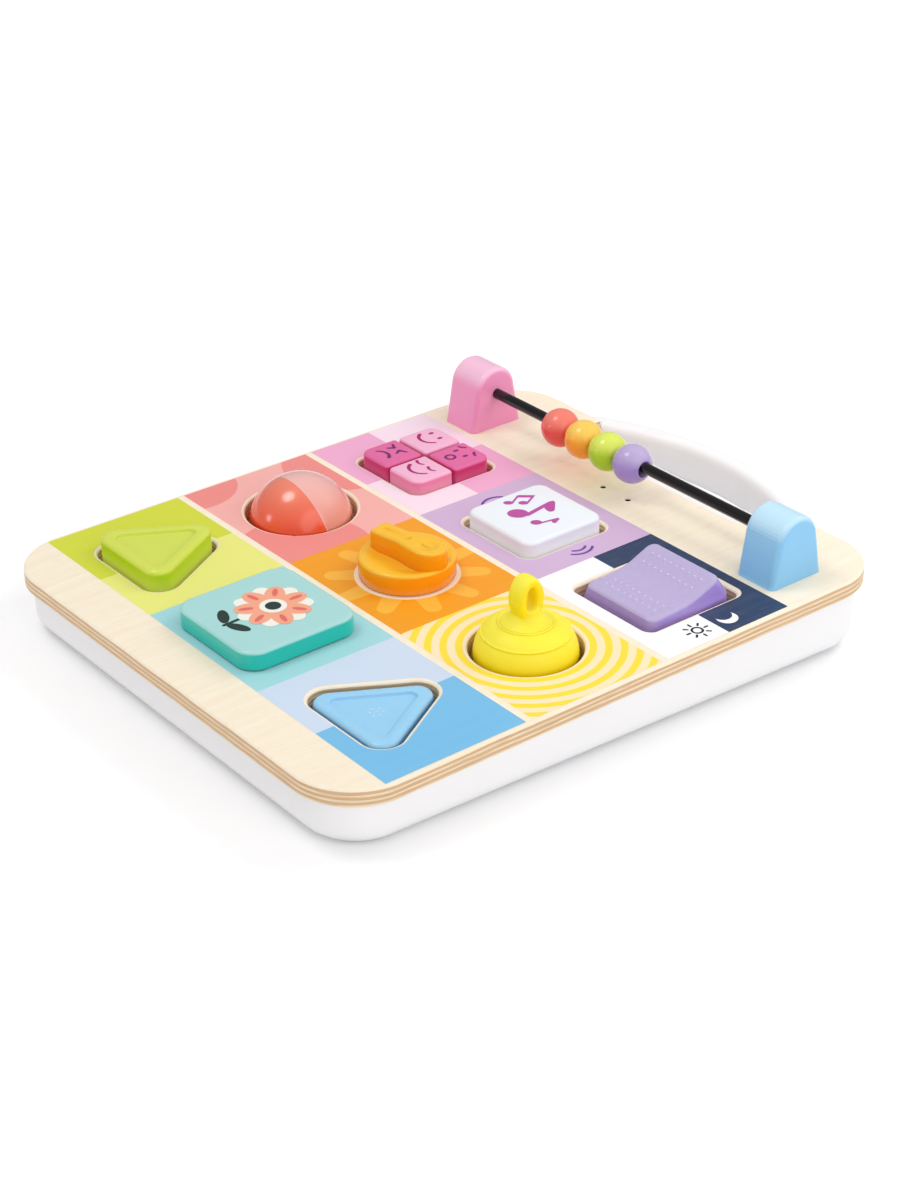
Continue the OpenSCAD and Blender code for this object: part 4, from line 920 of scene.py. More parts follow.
def rounded_loop(corners: Sequence[Point], radius: float, steps: int = 12, between: int = 0) -> Loop:
    """Round a convex outline whose corner middles are given, going anticlockwise.

    Args:
        corners: The middles of the corner arcs.
        radius: The corner radius.
        steps: Steps on each corner.
        between: Points along each straight side.
    Returns:
        The outline's points.
    """
    points: Loop = []
    count = len(corners)
    for i, corner in enumerate(corners):
        before = corners[i - 1]
        after = corners[(i + 1) % count]
        first = math.degrees(math.atan2(corner[1] - before[1], corner[0] - before[0])) - 90.0
        last = math.degrees(math.atan2(after[1] - corner[1], after[0] - corner[0])) - 90.0
        while last < first:
            last += 360.0
        points += arc_points(corner[0], corner[1], radius, first, last, steps)
        reach = (radius * math.cos(math.radians(last)), radius * math.sin(math.radians(last)))
        for k in range(1, between + 1):
            share = k / (between + 1)
            points.append((corner[0] + (after[0] - corner[0]) * share + reach[0],
                           corner[1] + (after[1] - corner[1]) * share + reach[1]))
    return points


def box_corners(width: float, length: float, radius: float) -> list[Point]:
    """Give the corner middles of a rounded box round the origin.

    Args:
        width: The box's width, in millimetres.
        length: The box's length.
        radius: The corner radius.
    Returns:
        The corners' middles, anticlockwise.
    """
    x = width / 2.0 - radius
    y = length / 2.0 - radius
    return [(-x, -y), (x, -y), (x, y), (-x, y)]


def triangle_corners(side: float) -> list[Point]:
    """Give the corners of an even triangle round its own middle that points along the board.

    Args:
        side: The triangle's side, in millimetres.
    Returns:
        The corners, anticlockwise.
    """
    reach = side / math.sqrt(3.0)
    turns = [math.radians(angle) for angle in (210.0, 330.0, 450.0)]
    return [(reach * math.cos(turn), reach * math.sin(turn)) for turn in turns]


class InkSheet:
    """A thin print made of flat shapes, in millimetres round its own middle."""

    layer: float = 0.004

    def __init__(self) -> None:
        """Start with an empty sheet."""
        self.mesh = bmesh.new()
        self.level = 0.0

    def face(self, points: Sequence[Point]) -> None:
        """Add a filled outline, a hair above the last one."""
        self.mesh.faces.new([self.mesh.verts.new((x * MM, y * MM, self.level * MM)) for x, y in points])
        self.level += self.layer

    def disc(self, x: float, y: float, width: float, length: float = 0.0, turn: float = 0.0) -> None:
        """Add a filled ellipse.

        Args:
            x: The middle's distance across.
            y: The middle's distance along.
            width: The half-width.
            length: The half-length, or 0 for a circle.
            turn: How far it is turned, in degrees.
        """
        length = length or width
        cos, sin = math.cos(math.radians(turn)), math.sin(math.radians(turn))
        spots = [(px * width, py * length) for px, py in circle_points(0.0, 0.0, 1.0)]
        self.face([(x + u * cos - v * sin, y + u * sin + v * cos) for u, v in spots])

    def stroke(self, points: Sequence[Point], start: float, end: float = 0.0) -> None:
        """Add a line with round ends.

        Args:
            points: The line's points.
            start: The width at the first point.
            end: The width at the last point, or 0 for the same width.
        """
        end = end or start
        last = len(points) - 1
        left: Loop = []
        right: Loop = []
        caps: list[float] = []
        for i, (x, y) in enumerate(points):
            ahead = points[min(i + 1, last)]
            behind = points[max(i - 1, 0)]
            angle = math.atan2(ahead[1] - behind[1], ahead[0] - behind[0])
            half = (start + (end - start) * i / last) / 2.0
            left.append((x - half * math.sin(angle), y + half * math.cos(angle)))
            right.append((x + half * math.sin(angle), y - half * math.cos(angle)))
            caps.append(math.degrees(angle))
        head = arc_points(points[-1][0], points[-1][1], end / 2.0, caps[-1] - 90.0, caps[-1] + 90.0, 10)
        tail = arc_points(points[0][0], points[0][1], start / 2.0, caps[0] + 90.0, caps[0] + 270.0, 10)
        self.face(right[:-1] + head + left[::-1][1:-1] + tail[:-1])

    def ring(self, x: float, y: float, outer: float, inner: float) -> None:
        """Add a flat ring.

        Args:
            x: The middle's distance across.
            y: The middle's distance along.
            outer: The outer radius.
            inner: The inner radius.
        """
        rims = []
        for radius in (outer, inner):
            points = circle_points(x, y, radius)
            rims.append([self.mesh.verts.new((px * MM, py * MM, self.level * MM)) for px, py in points])
        count = len(rims[0])
        for i in range(count):
            j = (i + 1) % count
            self.mesh.faces.new([rims[0][i], rims[0][j], rims[1][j], rims[1][i]])
        self.level += self.layer

    def finish(self, name: str, finish: Finish, place: Matrix, body: str, slot: str) -> None:
        """Turn the sheet into a piece.

        Args:
            name: The piece's name.
            finish: Its ink.
            place: The pose of the sheet's middle.
            body: The body it rides on.
            slot: The record's material slot; not used.
        """
        data = bpy.data.meshes.new(name)
        bmesh.ops.recalc_face_normals(self.mesh, faces=self.mesh.faces[:])
        for face in self.mesh.faces:
            if face.normal.z < 0.0:
                face.normal_flip()
        self.mesh.to_mesh(data)
        self.mesh.free()
        add_piece(name, data, finish, place, body)


def add_piece(name: str, data: bpy.types.Mesh, finish: Finish, place: Matrix, body: str
              ) -> bpy.types.Object:
    """Link a mesh into the scene as a piece that rides on a body.

    Args:
        name: The piece's name.
        data: Its mesh.
        finish: Its finish.
        place: Its pose.
        body: The body it rides on.
    Returns:
        The new piece.
    """
    data.materials.append(finish.material())
    piece = bpy.data.objects.new(name, data)
    bpy.context.scene.collection.objects.link(piece)
    piece.matrix_world = place
    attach(piece, body)
    LOG.info("made %s", name)
    return piece


# Printed tiles

@dataclass
class PrintedTile:
    """One printed tile of the panel, with a bare rim round its cut-out."""

    name: str
    column: int
    row: int
    ink: PrintInk
    hole: Loop
    lift: float = 0.05
    side_edge: float = 146.1

    def outline(self) -> Loop:
        """Give the printed rectangle.

        Returns:
            Its corners in the board frame, in millimetres.
        """
        x, y = BOARD.tile(self.column, self.row)
        left = -self.side_edge if self.column == 0 else x - BOARD.tile_w / 2.0
        right = self.side_edge if self.column == 2 else x + BOARD.tile_w / 2.0
        low, high = y - BOARD.tile_h / 2.0, y + BOARD.tile_h / 2.0
        return [(left, low), (right, low), (right, high), (left, high)]

    def build(self) -> None:
        """Fill the outline round the cut-out and make the piece."""
        x, y = BOARD.tile(self.column, self.row)
        curve = bpy.data.curves.new(self.name, "CURVE")
        curve.dimensions = "2D"
        curve.fill_mode = "FRONT"
        loops = [self.outline()]
        if self.hole:
            loops.append([(px + x, py + y) for px, py in self.hole])
        for loop in loops:
            spline = curve.splines.new("POLY")
            spline.points.add(len(loop) - 1)
            for point, (px, py) in zip(spline.points, loop):
                point.co = (px * MM, py * MM, 0.0, 1.0)
            spline.use_cyclic_u = True
        holder = bpy.data.objects.new(self.name + "_curve", curve)
        data = bpy.data.meshes.new_from_object(holder)
        bpy.data.objects.remove(holder)
        data.transform(Matrix.Translation((0.0, 0.0, self.lift * MM)))
        data.name = self.name
        add_piece(self.name, data, self.ink, BOARD.matrix(), "housing")


@dataclass
class PrintSheet:
    """All the prints on the panel."""

    triangle_r: float = 12.4
    square_side: float = 60.0
    square_r: float = 8.5
    rocker_w: float = 61.5
    rocker_l: float = 65.5
    rocker_r: float = 7.0
    dome_r: float = 31.7
    knob_r: float = 27.2
    pull_r: float = 30.2
    round_steps: int = 120
    coral_spots: tuple[Spot, ...] = ((-153.3, -56.8, 28.0), (-54.3, -48.3, 36.5), (-124.1, 27.6, 34.2))
    mark_lift: float = 0.09
    arc_right: float = 31.0
    arc_left: float = 28.6
    arc_y: float = 0.4
    arc_radii: Point = (5.9, 9.7)
    arc_turn: Point = (-46.0, 45.0)
    arc_line: float = 1.5
    hole_x: float = 10.0
    hole_y: float = 118.2
    hole_r: float = 1.7
    shade_z: float = -0.7
    sun_place: Point = (135.0, 50.5)
    sun_ring: Point = (3.3, 2.1)
    sun_rays: int = 8
    sun_reach: Point = (4.7, 6.6)
    sun_line: float = 1.15
    moon_place: Point = (135.2, 70.2)
    moon_r: float = 5.6
    moon_turn: float = 118.0
    bite_x: float = -3.5
    bite_r: float = 5.02
    bite_turn: float = 82.0

    def tile(self, name: str, column: int, row: int, ground: Tone, second: Tone, pattern: Pattern,
             hole: Loop) -> PrintedTile:
        """Give a tile its ink and its cut-out.

        Args:
            name: The tile's name.
            column: Its column, from the left.
            row: Its row, from the front.
            ground: The ground's ink.
            second: The ink of the pattern.
            pattern: What the print shows.
            hole: The cut-out round the tile's middle, or no points.
        Returns:
            The tile, not yet built.
        """
        x, y = BOARD.tile(column, row)
        spots = self.coral_spots if pattern is Pattern.SPOTS else ()
        ink = PrintInk(name + "_ink", ground, second, pattern, x, y, spots)
        return PrintedTile(name, column, row, ink, hole)

    def tiles(self) -> list[PrintedTile]:
        """Give the tiles in order.

        Returns:
            The nine tiles, from the front left.
        """
        triangle = [(px, py + TriangleCap.middle_y)
                    for px, py in rounded_loop(triangle_corners(TriangleCap.side), self.triangle_r)]
        square = rounded_loop(box_corners(self.square_side, self.square_side, self.square_r), self.square_r)
        box = rounded_loop(box_corners(self.rocker_w, self.rocker_l, self.rocker_r), self.rocker_r)
        rocker = [(px, py + RockerCap.pivot_y) for px, py in box]
        dome, knob, pull = (circle_points(0.0, 0.0, radius, self.round_steps)
                            for radius in (self.dome_r, self.knob_r, self.pull_r))
        aqua = Tone(164, 218, 224)
        lavender = Tone(209, 178, 213)
        return [
            self.tile("print_lime", 0, 0, Tone(212, 219, 58), Tone(237, 236, 128), Pattern.SPLIT, triangle),
            self.tile("print_aqua", 1, 0, aqua, aqua, Pattern.PLAIN, []),
            self.tile("print_blue", 2, 0, Tone(206, 221, 241), Tone(118, 190, 233), Pattern.SPLIT, triangle),
            self.tile("print_coral", 0, 1, Tone(246, 178, 172), Tone(240, 142, 138), Pattern.SPOTS, dome),
            self.tile("print_sun", 1, 1, Tone(245, 160, 24), Tone(249, 184, 62), Pattern.RAYS, knob),
            self.tile("print_rings", 2, 1, Tone(251, 232, 190), Tone(254, 224, 62), Pattern.RIPPLES, pull),
            self.tile("print_pink", 0, 2, Tone(249, 224, 237), Tone(240, 172, 208), Pattern.CHECKER, square),
            self.tile("print_lavender", 1, 2, lavender, lavender, Pattern.PLAIN, square),
            self.tile("print_day_night", 2, 2, Tone(249, 249, 251), Tone(48, 66, 100), Pattern.DAY_NIGHT,
                      rocker),
        ]

    def build(self) -> None:
        """Make every tile, then the small marks on them."""
        for tile in self.tiles():
            tile.build()
        self.sound_arcs()
        self.sun_and_moon()
        self.sound_holes()

    def mark(self, name: str, sheet: InkSheet, finish: Finish, x: float, y: float) -> None:
        """Lay a small mark on a printed tile."""
        sheet.finish(name, finish, BOARD.matrix(x, y, self.mark_lift), "housing", "plywood")

    def sound_arcs(self) -> None:
        """Make the two pairs of arcs beside the music button."""
        x, y = BOARD.tile(1, 2)
        for name, side, middle in (("sound_arcs_right", 1.0, self.arc_right),
                                   ("sound_arcs_left", -1.0, self.arc_left)):
            sheet = InkSheet()
            for radius in self.arc_radii:
                arc = arc_points(middle, self.arc_y, radius, *self.arc_turn)
                sheet.stroke([(side * px, py) for px, py in arc], self.arc_line)
            self.mark(name, sheet, VIOLET_INK, x, y)

    def sound_holes(self) -> None:
        """Make dark discs just under the two sound holes, painted shade for the dark inside them."""
        sheet = InkSheet()
        for x in (-self.hole_x, self.hole_x):
            sheet.disc(x, 0.0, self.hole_r)
        place = BOARD.matrix(0.0, self.hole_y, self.shade_z)
        sheet.finish("sound_hole_shade", HOLE_SHADE, place, "housing", "speaker_black")

    def sun_and_moon(self) -> None:
        """Make the small sun on the white half and the moon on the dark half."""
        sun = InkSheet()
        sun.ring(0.0, 0.0, *self.sun_ring)
        for k in range(self.sun_rays):
            angle = math.radians(360.0 * k / self.sun_rays)
            sun.stroke([(r * math.cos(angle), r * math.sin(angle)) for r in self.sun_reach], self.sun_line)
        self.mark("sun_mark", sun, DARK_INK, *self.sun_place)
        moon = InkSheet()
        outer = arc_points(0.0, 0.0, self.moon_r, -self.moon_turn, self.moon_turn, 36)
        inner = arc_points(self.bite_x, 0.0, self.bite_r, self.bite_turn, -self.bite_turn, 30)
        moon.face(outer + inner)
        self.mark("moon_mark", moon, WHITE_INK, *self.moon_place)


# Marks on the buttons and the spinner

@dataclass
class CapMark:
    """A print on top of a moving cap."""

    name: str
    node: str
    body: str
    slot: str
    ink: Finish
    x: float
    y: float
    proud: float = 0.03

    def place(self) -> Matrix:
        """Give the pose of the middle of the cap's top."""
        return BOARD.matrix(self.x, self.y, self.height() + self.proud)

    def height(self) -> float:
        """Measure the cap's solid.

        Returns:
            The height of its top above the panel, in millimetres.
        """
        back = BOARD.matrix().inverted()
        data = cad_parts[self.node].data
        return max((back @ v.co).z for v in data.vertices) / MM

    def lay(self, sheet: InkSheet) -> None:
        """Lay a sheet on the cap."""
        sheet.finish(self.name, self.ink, self.place(), self.body, self.slot)


@dataclass
class FaceMarks:
    """The four simple faces on the square caps."""

    off: float = 13.3
    middle: float = -1.2
    down: float = 1.6
    bold: float = 2.2
    thin: float = 1.2
    smile_start: float = 208.0
    smile_end: float = 336.0

    def lay(self, mood: str, across: float, along: float, slot: str, ink: Finish, sheet: InkSheet) -> None:
        """Lay a face on its cap.

        Args:
            mood: The face's name.
            across: The cap's side across the board, -1 or 1.
            along: The cap's side along the board, -1 or 1.
            slot: The record's material slot.
            ink: The face's ink.
            sheet: The face.
        """
        x, y = BOARD.tile(0, 2)
        CapMark(mood + "_face", mood + "_button", mood, slot, ink, x + across * self.off,
                y + along * self.off - self.down).lay(sheet)

    def smiling(self, sheet: InkSheet, x: float, y: float, radius: float) -> None:
        """Add a smiling mouth that is part of a circle."""
        mouth = arc_points(self.middle + x, y, radius, self.smile_start, self.smile_end, steps=30)
        sheet.stroke(mouth, self.bold, self.thin)

    def smile(self) -> None:
        """Make the smiling face with round eyes."""
        sheet = InkSheet()
        for side in (-1.0, 1.0):
            sheet.disc(self.middle + side * 4.0, 6.9, width=1.1, length=1.75)
        self.smiling(sheet, 0.0, 4.6, radius=7.6)
        self.lay("smile", -1.0, 1.0, "pale_pink", MAGENTA_INK, sheet)

    def sleepy(self) -> None:
        """Make the sleeping face with closed eyes."""
        sheet = InkSheet()
        for side in (-1.0, 1.0):
            lid = arc_points(self.middle + side * 5.0, 8.8, radius=4.0, start=226.0, end=318.0, steps=16)
            sheet.stroke(lid, start=1.9, end=1.1)
        self.smiling(sheet, 0.6, 3.7, radius=7.9)
        self.lay("sleepy", 1.0, -1.0, "pale_pink", MAGENTA_INK, sheet)

    def grumpy(self) -> None:
        """Make the cross face with pinched eyes."""
        sheet = InkSheet()
        for side in (-1.0, 1.0):
            inner = (self.middle + side * 2.2, 6.3)
            sheet.stroke([inner, (self.middle + side * 6.3, 8.2)], start=2.0, end=1.3)
            sheet.stroke([inner, (self.middle + side * 4.1, 3.3)], start=2.0, end=1.5)
        mouth = arc_points(self.middle + 0.5, -7.4, radius=6.5, start=148.0, end=38.0)
        sheet.stroke(mouth, self.thin, self.bold)
        self.lay("grumpy", -1.0, -1.0, "deep_pink", PLUM_INK, sheet)

    def surprised(self) -> None:
        """Make the surprised face with an open mouth and lifted brows."""
        sheet = InkSheet()
        sheet.ring(self.middle + 0.2, -3.7, outer=3.4, inner=1.9)
        for side in (-1.0, 1.0):
            sheet.disc(self.middle + side * 4.2, 3.6, width=1.1, length=1.7)
            brow = [(self.middle + side * px, py) for px, py in ((3.8, 10.1), (5.4, 8.7), (7.3, 8.1))]
            sheet.stroke(brow, start=1.5)
        self.lay("surprised", 1.0, 1.0, "deep_pink", PLUM_INK, sheet)

    def build(self) -> None:
        """Make the four faces."""
        self.smile()
        self.sleepy()
        self.grumpy()
        self.surprised()


@dataclass
class MusicMarks:
    """The three notes on the music button."""

    slant: float = 50.0

    def pair(self, sheet: InkSheet) -> None:
        """Add two small notes under one beam.

        Args:
            sheet: The sheet they go on.
        """
        for x, y in ((-17.5, -3.3), (-12.4, 2.8)):
            sheet.disc(x, y, width=2.7, length=2.1, turn=self.slant)
        for stem in ([(-15.7, -2.4), (-20.3, 5.6)], [(-10.6, 3.7), (-14.9, 11.6)]):
            sheet.stroke(stem, start=1.3)
        sheet.face([(-21.2, 6.4), (-18.9, 4.7), (-13.9, 10.7), (-15.2, 13.5)])

    def large(self, sheet: InkSheet) -> None:
        """Add the large note with its broad flag.

        Args:
            sheet: The sheet it goes on.
        """
        sheet.disc(-4.8, -7.3, width=5.6, length=4.9, turn=self.slant)
        sheet.stroke([(-0.5, -4.2), (-3.6, 13.6)], start=2.9, end=2.6)
        sheet.face([(-4.9, 14.6), (-2.6, 9.4), (-0.6, 7.3), (2.7, 6.6), (4.5, 7.0), (5.1, 8.7), (4.3, 10.4),
                    (-2.3, 16.3), (-4.2, 16.6)])

    def small(self, sheet: InkSheet) -> None:
        """Add the small note.

        Args:
            sheet: The sheet it goes on.
        """
        sheet.disc(9.0, -6.4, width=3.1, length=2.6, turn=self.slant)
        sheet.stroke([(11.0, -4.9), (12.8, 5.0)], start=1.5)
        sheet.face([(12.2, 5.3), (13.0, 0.6), (15.0, -0.1), (16.1, 0.8), (13.8, 5.7)])

    def build(self) -> None:
        """Make the notes."""
        sheet = InkSheet()
        self.pair(sheet)
        self.large(sheet)
        self.small(sheet)
        x, y = BOARD.tile(1, 2)
        CapMark("music_notes", "music_button", "music", "white_gloss", NOTE_INK, x, y).lay(sheet)


@dataclass
class FlowerMark:
    """A plain flower with a stem and two leaves on the spinning tile."""

    petals: int = 7
    middle: float = 4.0
    spin_forward: float = 2.0
    back: Spot = (12.4, 5.4, 7.6)
    front: Spot = (11.2, 5.2, 8.2)
    stripe: Spot = (13.4, 1.4, 3.8)
    first_turn: float = 90.0
    ring_r: float = 6.8
    eye_r: float = 4.0
    first_lift: float = 0.03
    layer_lift: float = 0.04

    def ring_of(self, sheet: InkSheet, reach: float, width: float, length: float, start: float) -> None:
        """Add a ring of petals.

        Args:
            sheet: The sheet they go on.
            reach: How far out a petal's middle lies.
            width: A petal's half-width.
            length: A petal's half-length.
            start: The first petal's angle, in degrees.
        """
        for k in range(self.petals):
            turn = start + 360.0 * k / self.petals
            angle = math.radians(turn)
            sheet.disc(reach * math.cos(angle), reach * math.sin(angle) + self.middle, length, width, turn)

    def leaves(self, sheet: InkSheet) -> None:
        """Add the stem and its leaves.

        Args:
            sheet: The sheet they go on.
        """
        sheet.stroke([(0.0, -12.0), (0.6, -25.0)], start=2.0)
        for side in (-1.0, 1.0):
            sheet.disc(side * 6.6, -20.6, width=6.6, length=2.9, turn=side * 26.0)

    def build(self) -> None:
        """Make the leaves, the petals, their stripes and the middle."""
        first = self.first_turn
        between = first + 180.0 / self.petals
        x, y = BOARD.tile(1, 0)
        layers: list[tuple[str, Finish, Callable[[InkSheet], None]]] = [
            ("flower_leaves", PINE_INK, self.leaves),
            ("flower_back", CREAM_INK, lambda sheet: self.ring_of(sheet, *self.back, between)),
            ("flower_petals", CORAL_INK, lambda sheet: self.ring_of(sheet, *self.front, first)),
            ("flower_stripes", ROSE_INK, lambda sheet: self.ring_of(sheet, *self.stripe, first)),
            ("flower_ring", CREAM_INK, lambda sheet: sheet.disc(0.0, self.middle, self.ring_r)),
            ("flower_middle", PINE_INK, lambda sheet: sheet.disc(0.0, self.middle, self.eye_r)),
        ]
        for level, (name, ink, draw) in enumerate(layers):
            sheet = InkSheet()
            draw(sheet)
            CapMark(name, "spinner_tile", "spinner", "teal_gloss", ink, x, y - self.spin_forward,
                    self.first_lift + self.layer_lift * level).lay(sheet)


# Smooth replacements

def eased(share: float) -> float:
    """Give a share, held between 0 and 1, with a soft start and end."""
    held = min(1.0, max(0.0, share))
    return held * held * (3.0 - 2.0 * held)


def quarter_round(radius: float, steps: int = 8) -> list[Point]:
    """Follow a rounded edge from its flank to its top.

    Args:
        radius: The edge's radius, in millimetres.
        steps: Steps on the edge.
    Returns:
        How far in and how far down each point lies.
    """
    angles = [math.radians(90.0 * k / steps) for k in range(steps + 1)]
    return [(radius * (1.0 - math.cos(a)), radius * (1.0 - math.sin(a))) for a in angles]


def revolve(mesh: bmesh.types.BMesh, profile: Sequence[Point], steps: int = 96) -> None:
    """Turn a profile of radius and height round the upright axis, closed at its ends.

    Args:
        mesh: The mesh it goes into.
        profile: The points from bottom to top, in millimetres.
        steps: How many steps go round.
    """
    rings = []
    for radius, height in profile:
        if radius < 1e-6:
            rings.append([mesh.verts.new((0.0, 0.0, height * MM))])
            continue
        rings.append([mesh.verts.new((px * MM, py * MM, height * MM))
                      for px, py in circle_points(0.0, 0.0, radius, steps)])
    for lower, upper in zip(rings, rings[1:]):
        for i in range(steps):
            j = (i + 1) % steps
            quad = [ring[k % len(ring)] for ring, k in ((lower, i), (lower, j), (upper, j), (upper, i))]
            mesh.faces.new(list(dict.fromkeys(quad)))


def loft(mesh: bmesh.types.BMesh, rings: Sequence[Ring]) -> None:
    """Join rings of points into a closed skin.

    Args:
        mesh: The mesh it goes into.
        rings: Rings from the bottom up, each with as many points, in millimetres.
    """
    loops = [[mesh.verts.new((x * MM, y * MM, z * MM)) for x, y, z in ring] for ring in rings]
    for lower, upper in zip(loops, loops[1:]):
        for i in range(len(lower)):
            j = (i + 1) % len(lower)
            mesh.faces.new([lower[i], lower[j], upper[j], upper[i]])
    mesh.faces.new(loops[0][::-1])
    mesh.faces.new(loops[-1])


def add_dots(name: str, spots: Sequence[Spot], radius: float, finish: Finish, place: Matrix, body: str) -> None:
    """Make small raised dots as one piece.

    Args:
        name: The piece's name.
        spots: The balls' middles, in millimetres.
        radius: The balls' radius.
        finish: Their finish.
        place: The pose of the frame that the spots lie in.
        body: The body they ride on.
    """
    mesh = bmesh.new()
    for x, y, z in spots:
        middle = Matrix.Translation((x * MM, y * MM, z * MM))
        bmesh.ops.create_icosphere(mesh, subdivisions=3, radius=radius * MM, matrix=middle)
    add_piece(name, skin_of(mesh, name), finish, place, body)


def skin_of(mesh: bmesh.types.BMesh, name: str) -> bpy.types.Mesh:
    """Turn a built mesh into a smooth one.

    Args:
        mesh: The built mesh; it is freed.
        name: The new mesh's name.
    Returns:
        The smooth mesh.
    """
    data = bpy.data.meshes.new(name)
    bmesh.ops.recalc_face_normals(mesh, faces=mesh.faces[:])
    mesh.to_mesh(data)
    mesh.free()
    data.shade_smooth()
    return data


@dataclass
class TriangleCap:
    """A see-saw button: a soft triangle with a broad rim and a sloped dish."""

    name: str
    node: str
    body: str
    slot: str
    finish: Finish
    column: int
    drop: float = 0.0
    dots: Optional[Finish] = None
    side: float = 40.0
    middle_y: float = -5.774
    corner_r: float = 8.3
    flange_r: float = 12.8
    edge_r: float = 2.8
    top: float = 9.5
    skirt_low: float = -11.5
    flange_high: float = -9.3
    brim_side: float = 34.0
    brim_r: float = 3.9
    floor_side: float = 33.4
    floor_r: float = 2.9
    dish_depth: float = 1.5
    slope_steps: int = 10
    floor_share: float = 0.9
    dot_r: float = 0.85
    dot_sink: float = 0.45
    dot_reach: float = 3.3

    def ring(self, side: float, radius: float, height: float) -> Ring:
        """Give a rounded triangle at a height."""
        return [(x, y, height) for x, y in rounded_loop(triangle_corners(side), radius)]

    def rings(self) -> list[Ring]:
        """Give the cap's skin.

        Returns:
            The rings from the flange up to the dish's floor.
        """
        made = [self.ring(self.side, self.flange_r, self.skirt_low),
                self.ring(self.side, self.flange_r, self.flange_high),
                self.ring(self.side, self.corner_r, self.flange_high)]
        for inset, drop in quarter_round(self.edge_r):
            made.append(self.ring(self.side, self.corner_r - inset, self.top - drop))
        for k in range(self.slope_steps + 1):
            share = k / self.slope_steps
            made.append(self.ring(self.brim_side + (self.floor_side - self.brim_side) * share,
                                  self.brim_r + (self.floor_r - self.brim_r) * share,
                                  self.top - self.dish_depth * eased(share)))
        made.append(self.ring(self.floor_side * self.floor_share, self.floor_r * self.floor_share,
                              self.top - self.dish_depth))
        return made

    def build(self) -> None:
        """Make the cap and hide the solid that it stands in for."""
        mesh = bmesh.new()
        loft(mesh, self.rings())
        x, y = BOARD.tile(self.column, 0)
        place = BOARD.matrix(x, y + self.middle_y, -self.drop)
        piece = add_piece(self.name, skin_of(mesh, self.name), self.finish, place, self.body)
        if self.dots:
            # the dots' lighter tone is a painted highlight
            level = self.top - self.dish_depth - self.dot_sink
            spots = [(px, py, level) for px, py in [(0.0, 0.0)] + circle_points(0.0, 0.0, self.dot_reach, 6)]
            add_dots(self.name + "_dots", spots, self.dot_r, self.dots, place, self.body)
        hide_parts(self.node)


def soft_box(low: Point, high: Point, radii: Sequence[float], steps: int = 10) -> Loop:
    """Give a box's outline with a radius of its own at each corner.

    Args:
        low: The front left corner, in millimetres.
        high: The back right corner.
        radii: The corners' radii, anticlockwise from the front left.
        steps: Steps on each corner.
    Returns:
        The outline, anticlockwise.
    """
    corners = ((low[0], low[1]), (high[0], low[1]), (high[0], high[1]), (low[0], high[1]))
    inward = ((1.0, 1.0), (-1.0, 1.0), (-1.0, -1.0), (1.0, -1.0))
    points: Loop = []
    for k, radius in enumerate(radii):
        x = corners[k][0] + inward[k][0] * radius
        y = corners[k][1] + inward[k][1] * radius
        points += arc_points(x, y, radius, 180.0 + 90.0 * k, 270.0 + 90.0 * k, steps)
    return points


@dataclass
class SoftCap:
    """A square button with a soft top edge and a flange on its outer sides."""

    name: str
    node: str
    body: str
    slot: str
    finish: Finish
    column: int
    low: Point
    high: Point
    radii: Sequence[float]
    flange_low: Point
    flange_high: Point
    top: float
    edge_r: float
    least_r: float = 0.2
    flange_z: Point = (-11.5, -9.3)

    def ring(self, inset: float, height: float) -> Ring:
        """Give the cap's outline at a height.

        Args:
            inset: How far it is drawn in, in millimetres.
            height: Its height above the panel.
        Returns:
            The outline's points.
        """
        low = (self.low[0] + inset, self.low[1] + inset)
        high = (self.high[0] - inset, self.high[1] - inset)
        radii = [max(self.least_r, radius - inset) for radius in self.radii]
        return [(x, y, height) for x, y in soft_box(low, high, radii)]

    def build(self) -> None:
        """Make the cap and hide the solid that it stands in for."""
        foot = soft_box(self.flange_low, self.flange_high, self.radii)
        rings = [[(x, y, z) for x, y in foot] for z in self.flange_z]
        rings.append(self.ring(0.0, self.flange_z[1]))
        rings += [self.ring(inset, self.top - drop) for inset, drop in quarter_round(self.edge_r)]
        mesh = bmesh.new()
        loft(mesh, rings)
        place = BOARD.matrix(*BOARD.tile(self.column, 2))
        piece = add_piece(self.name, skin_of(mesh, self.name), self.finish, place, self.body)
        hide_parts(self.node)


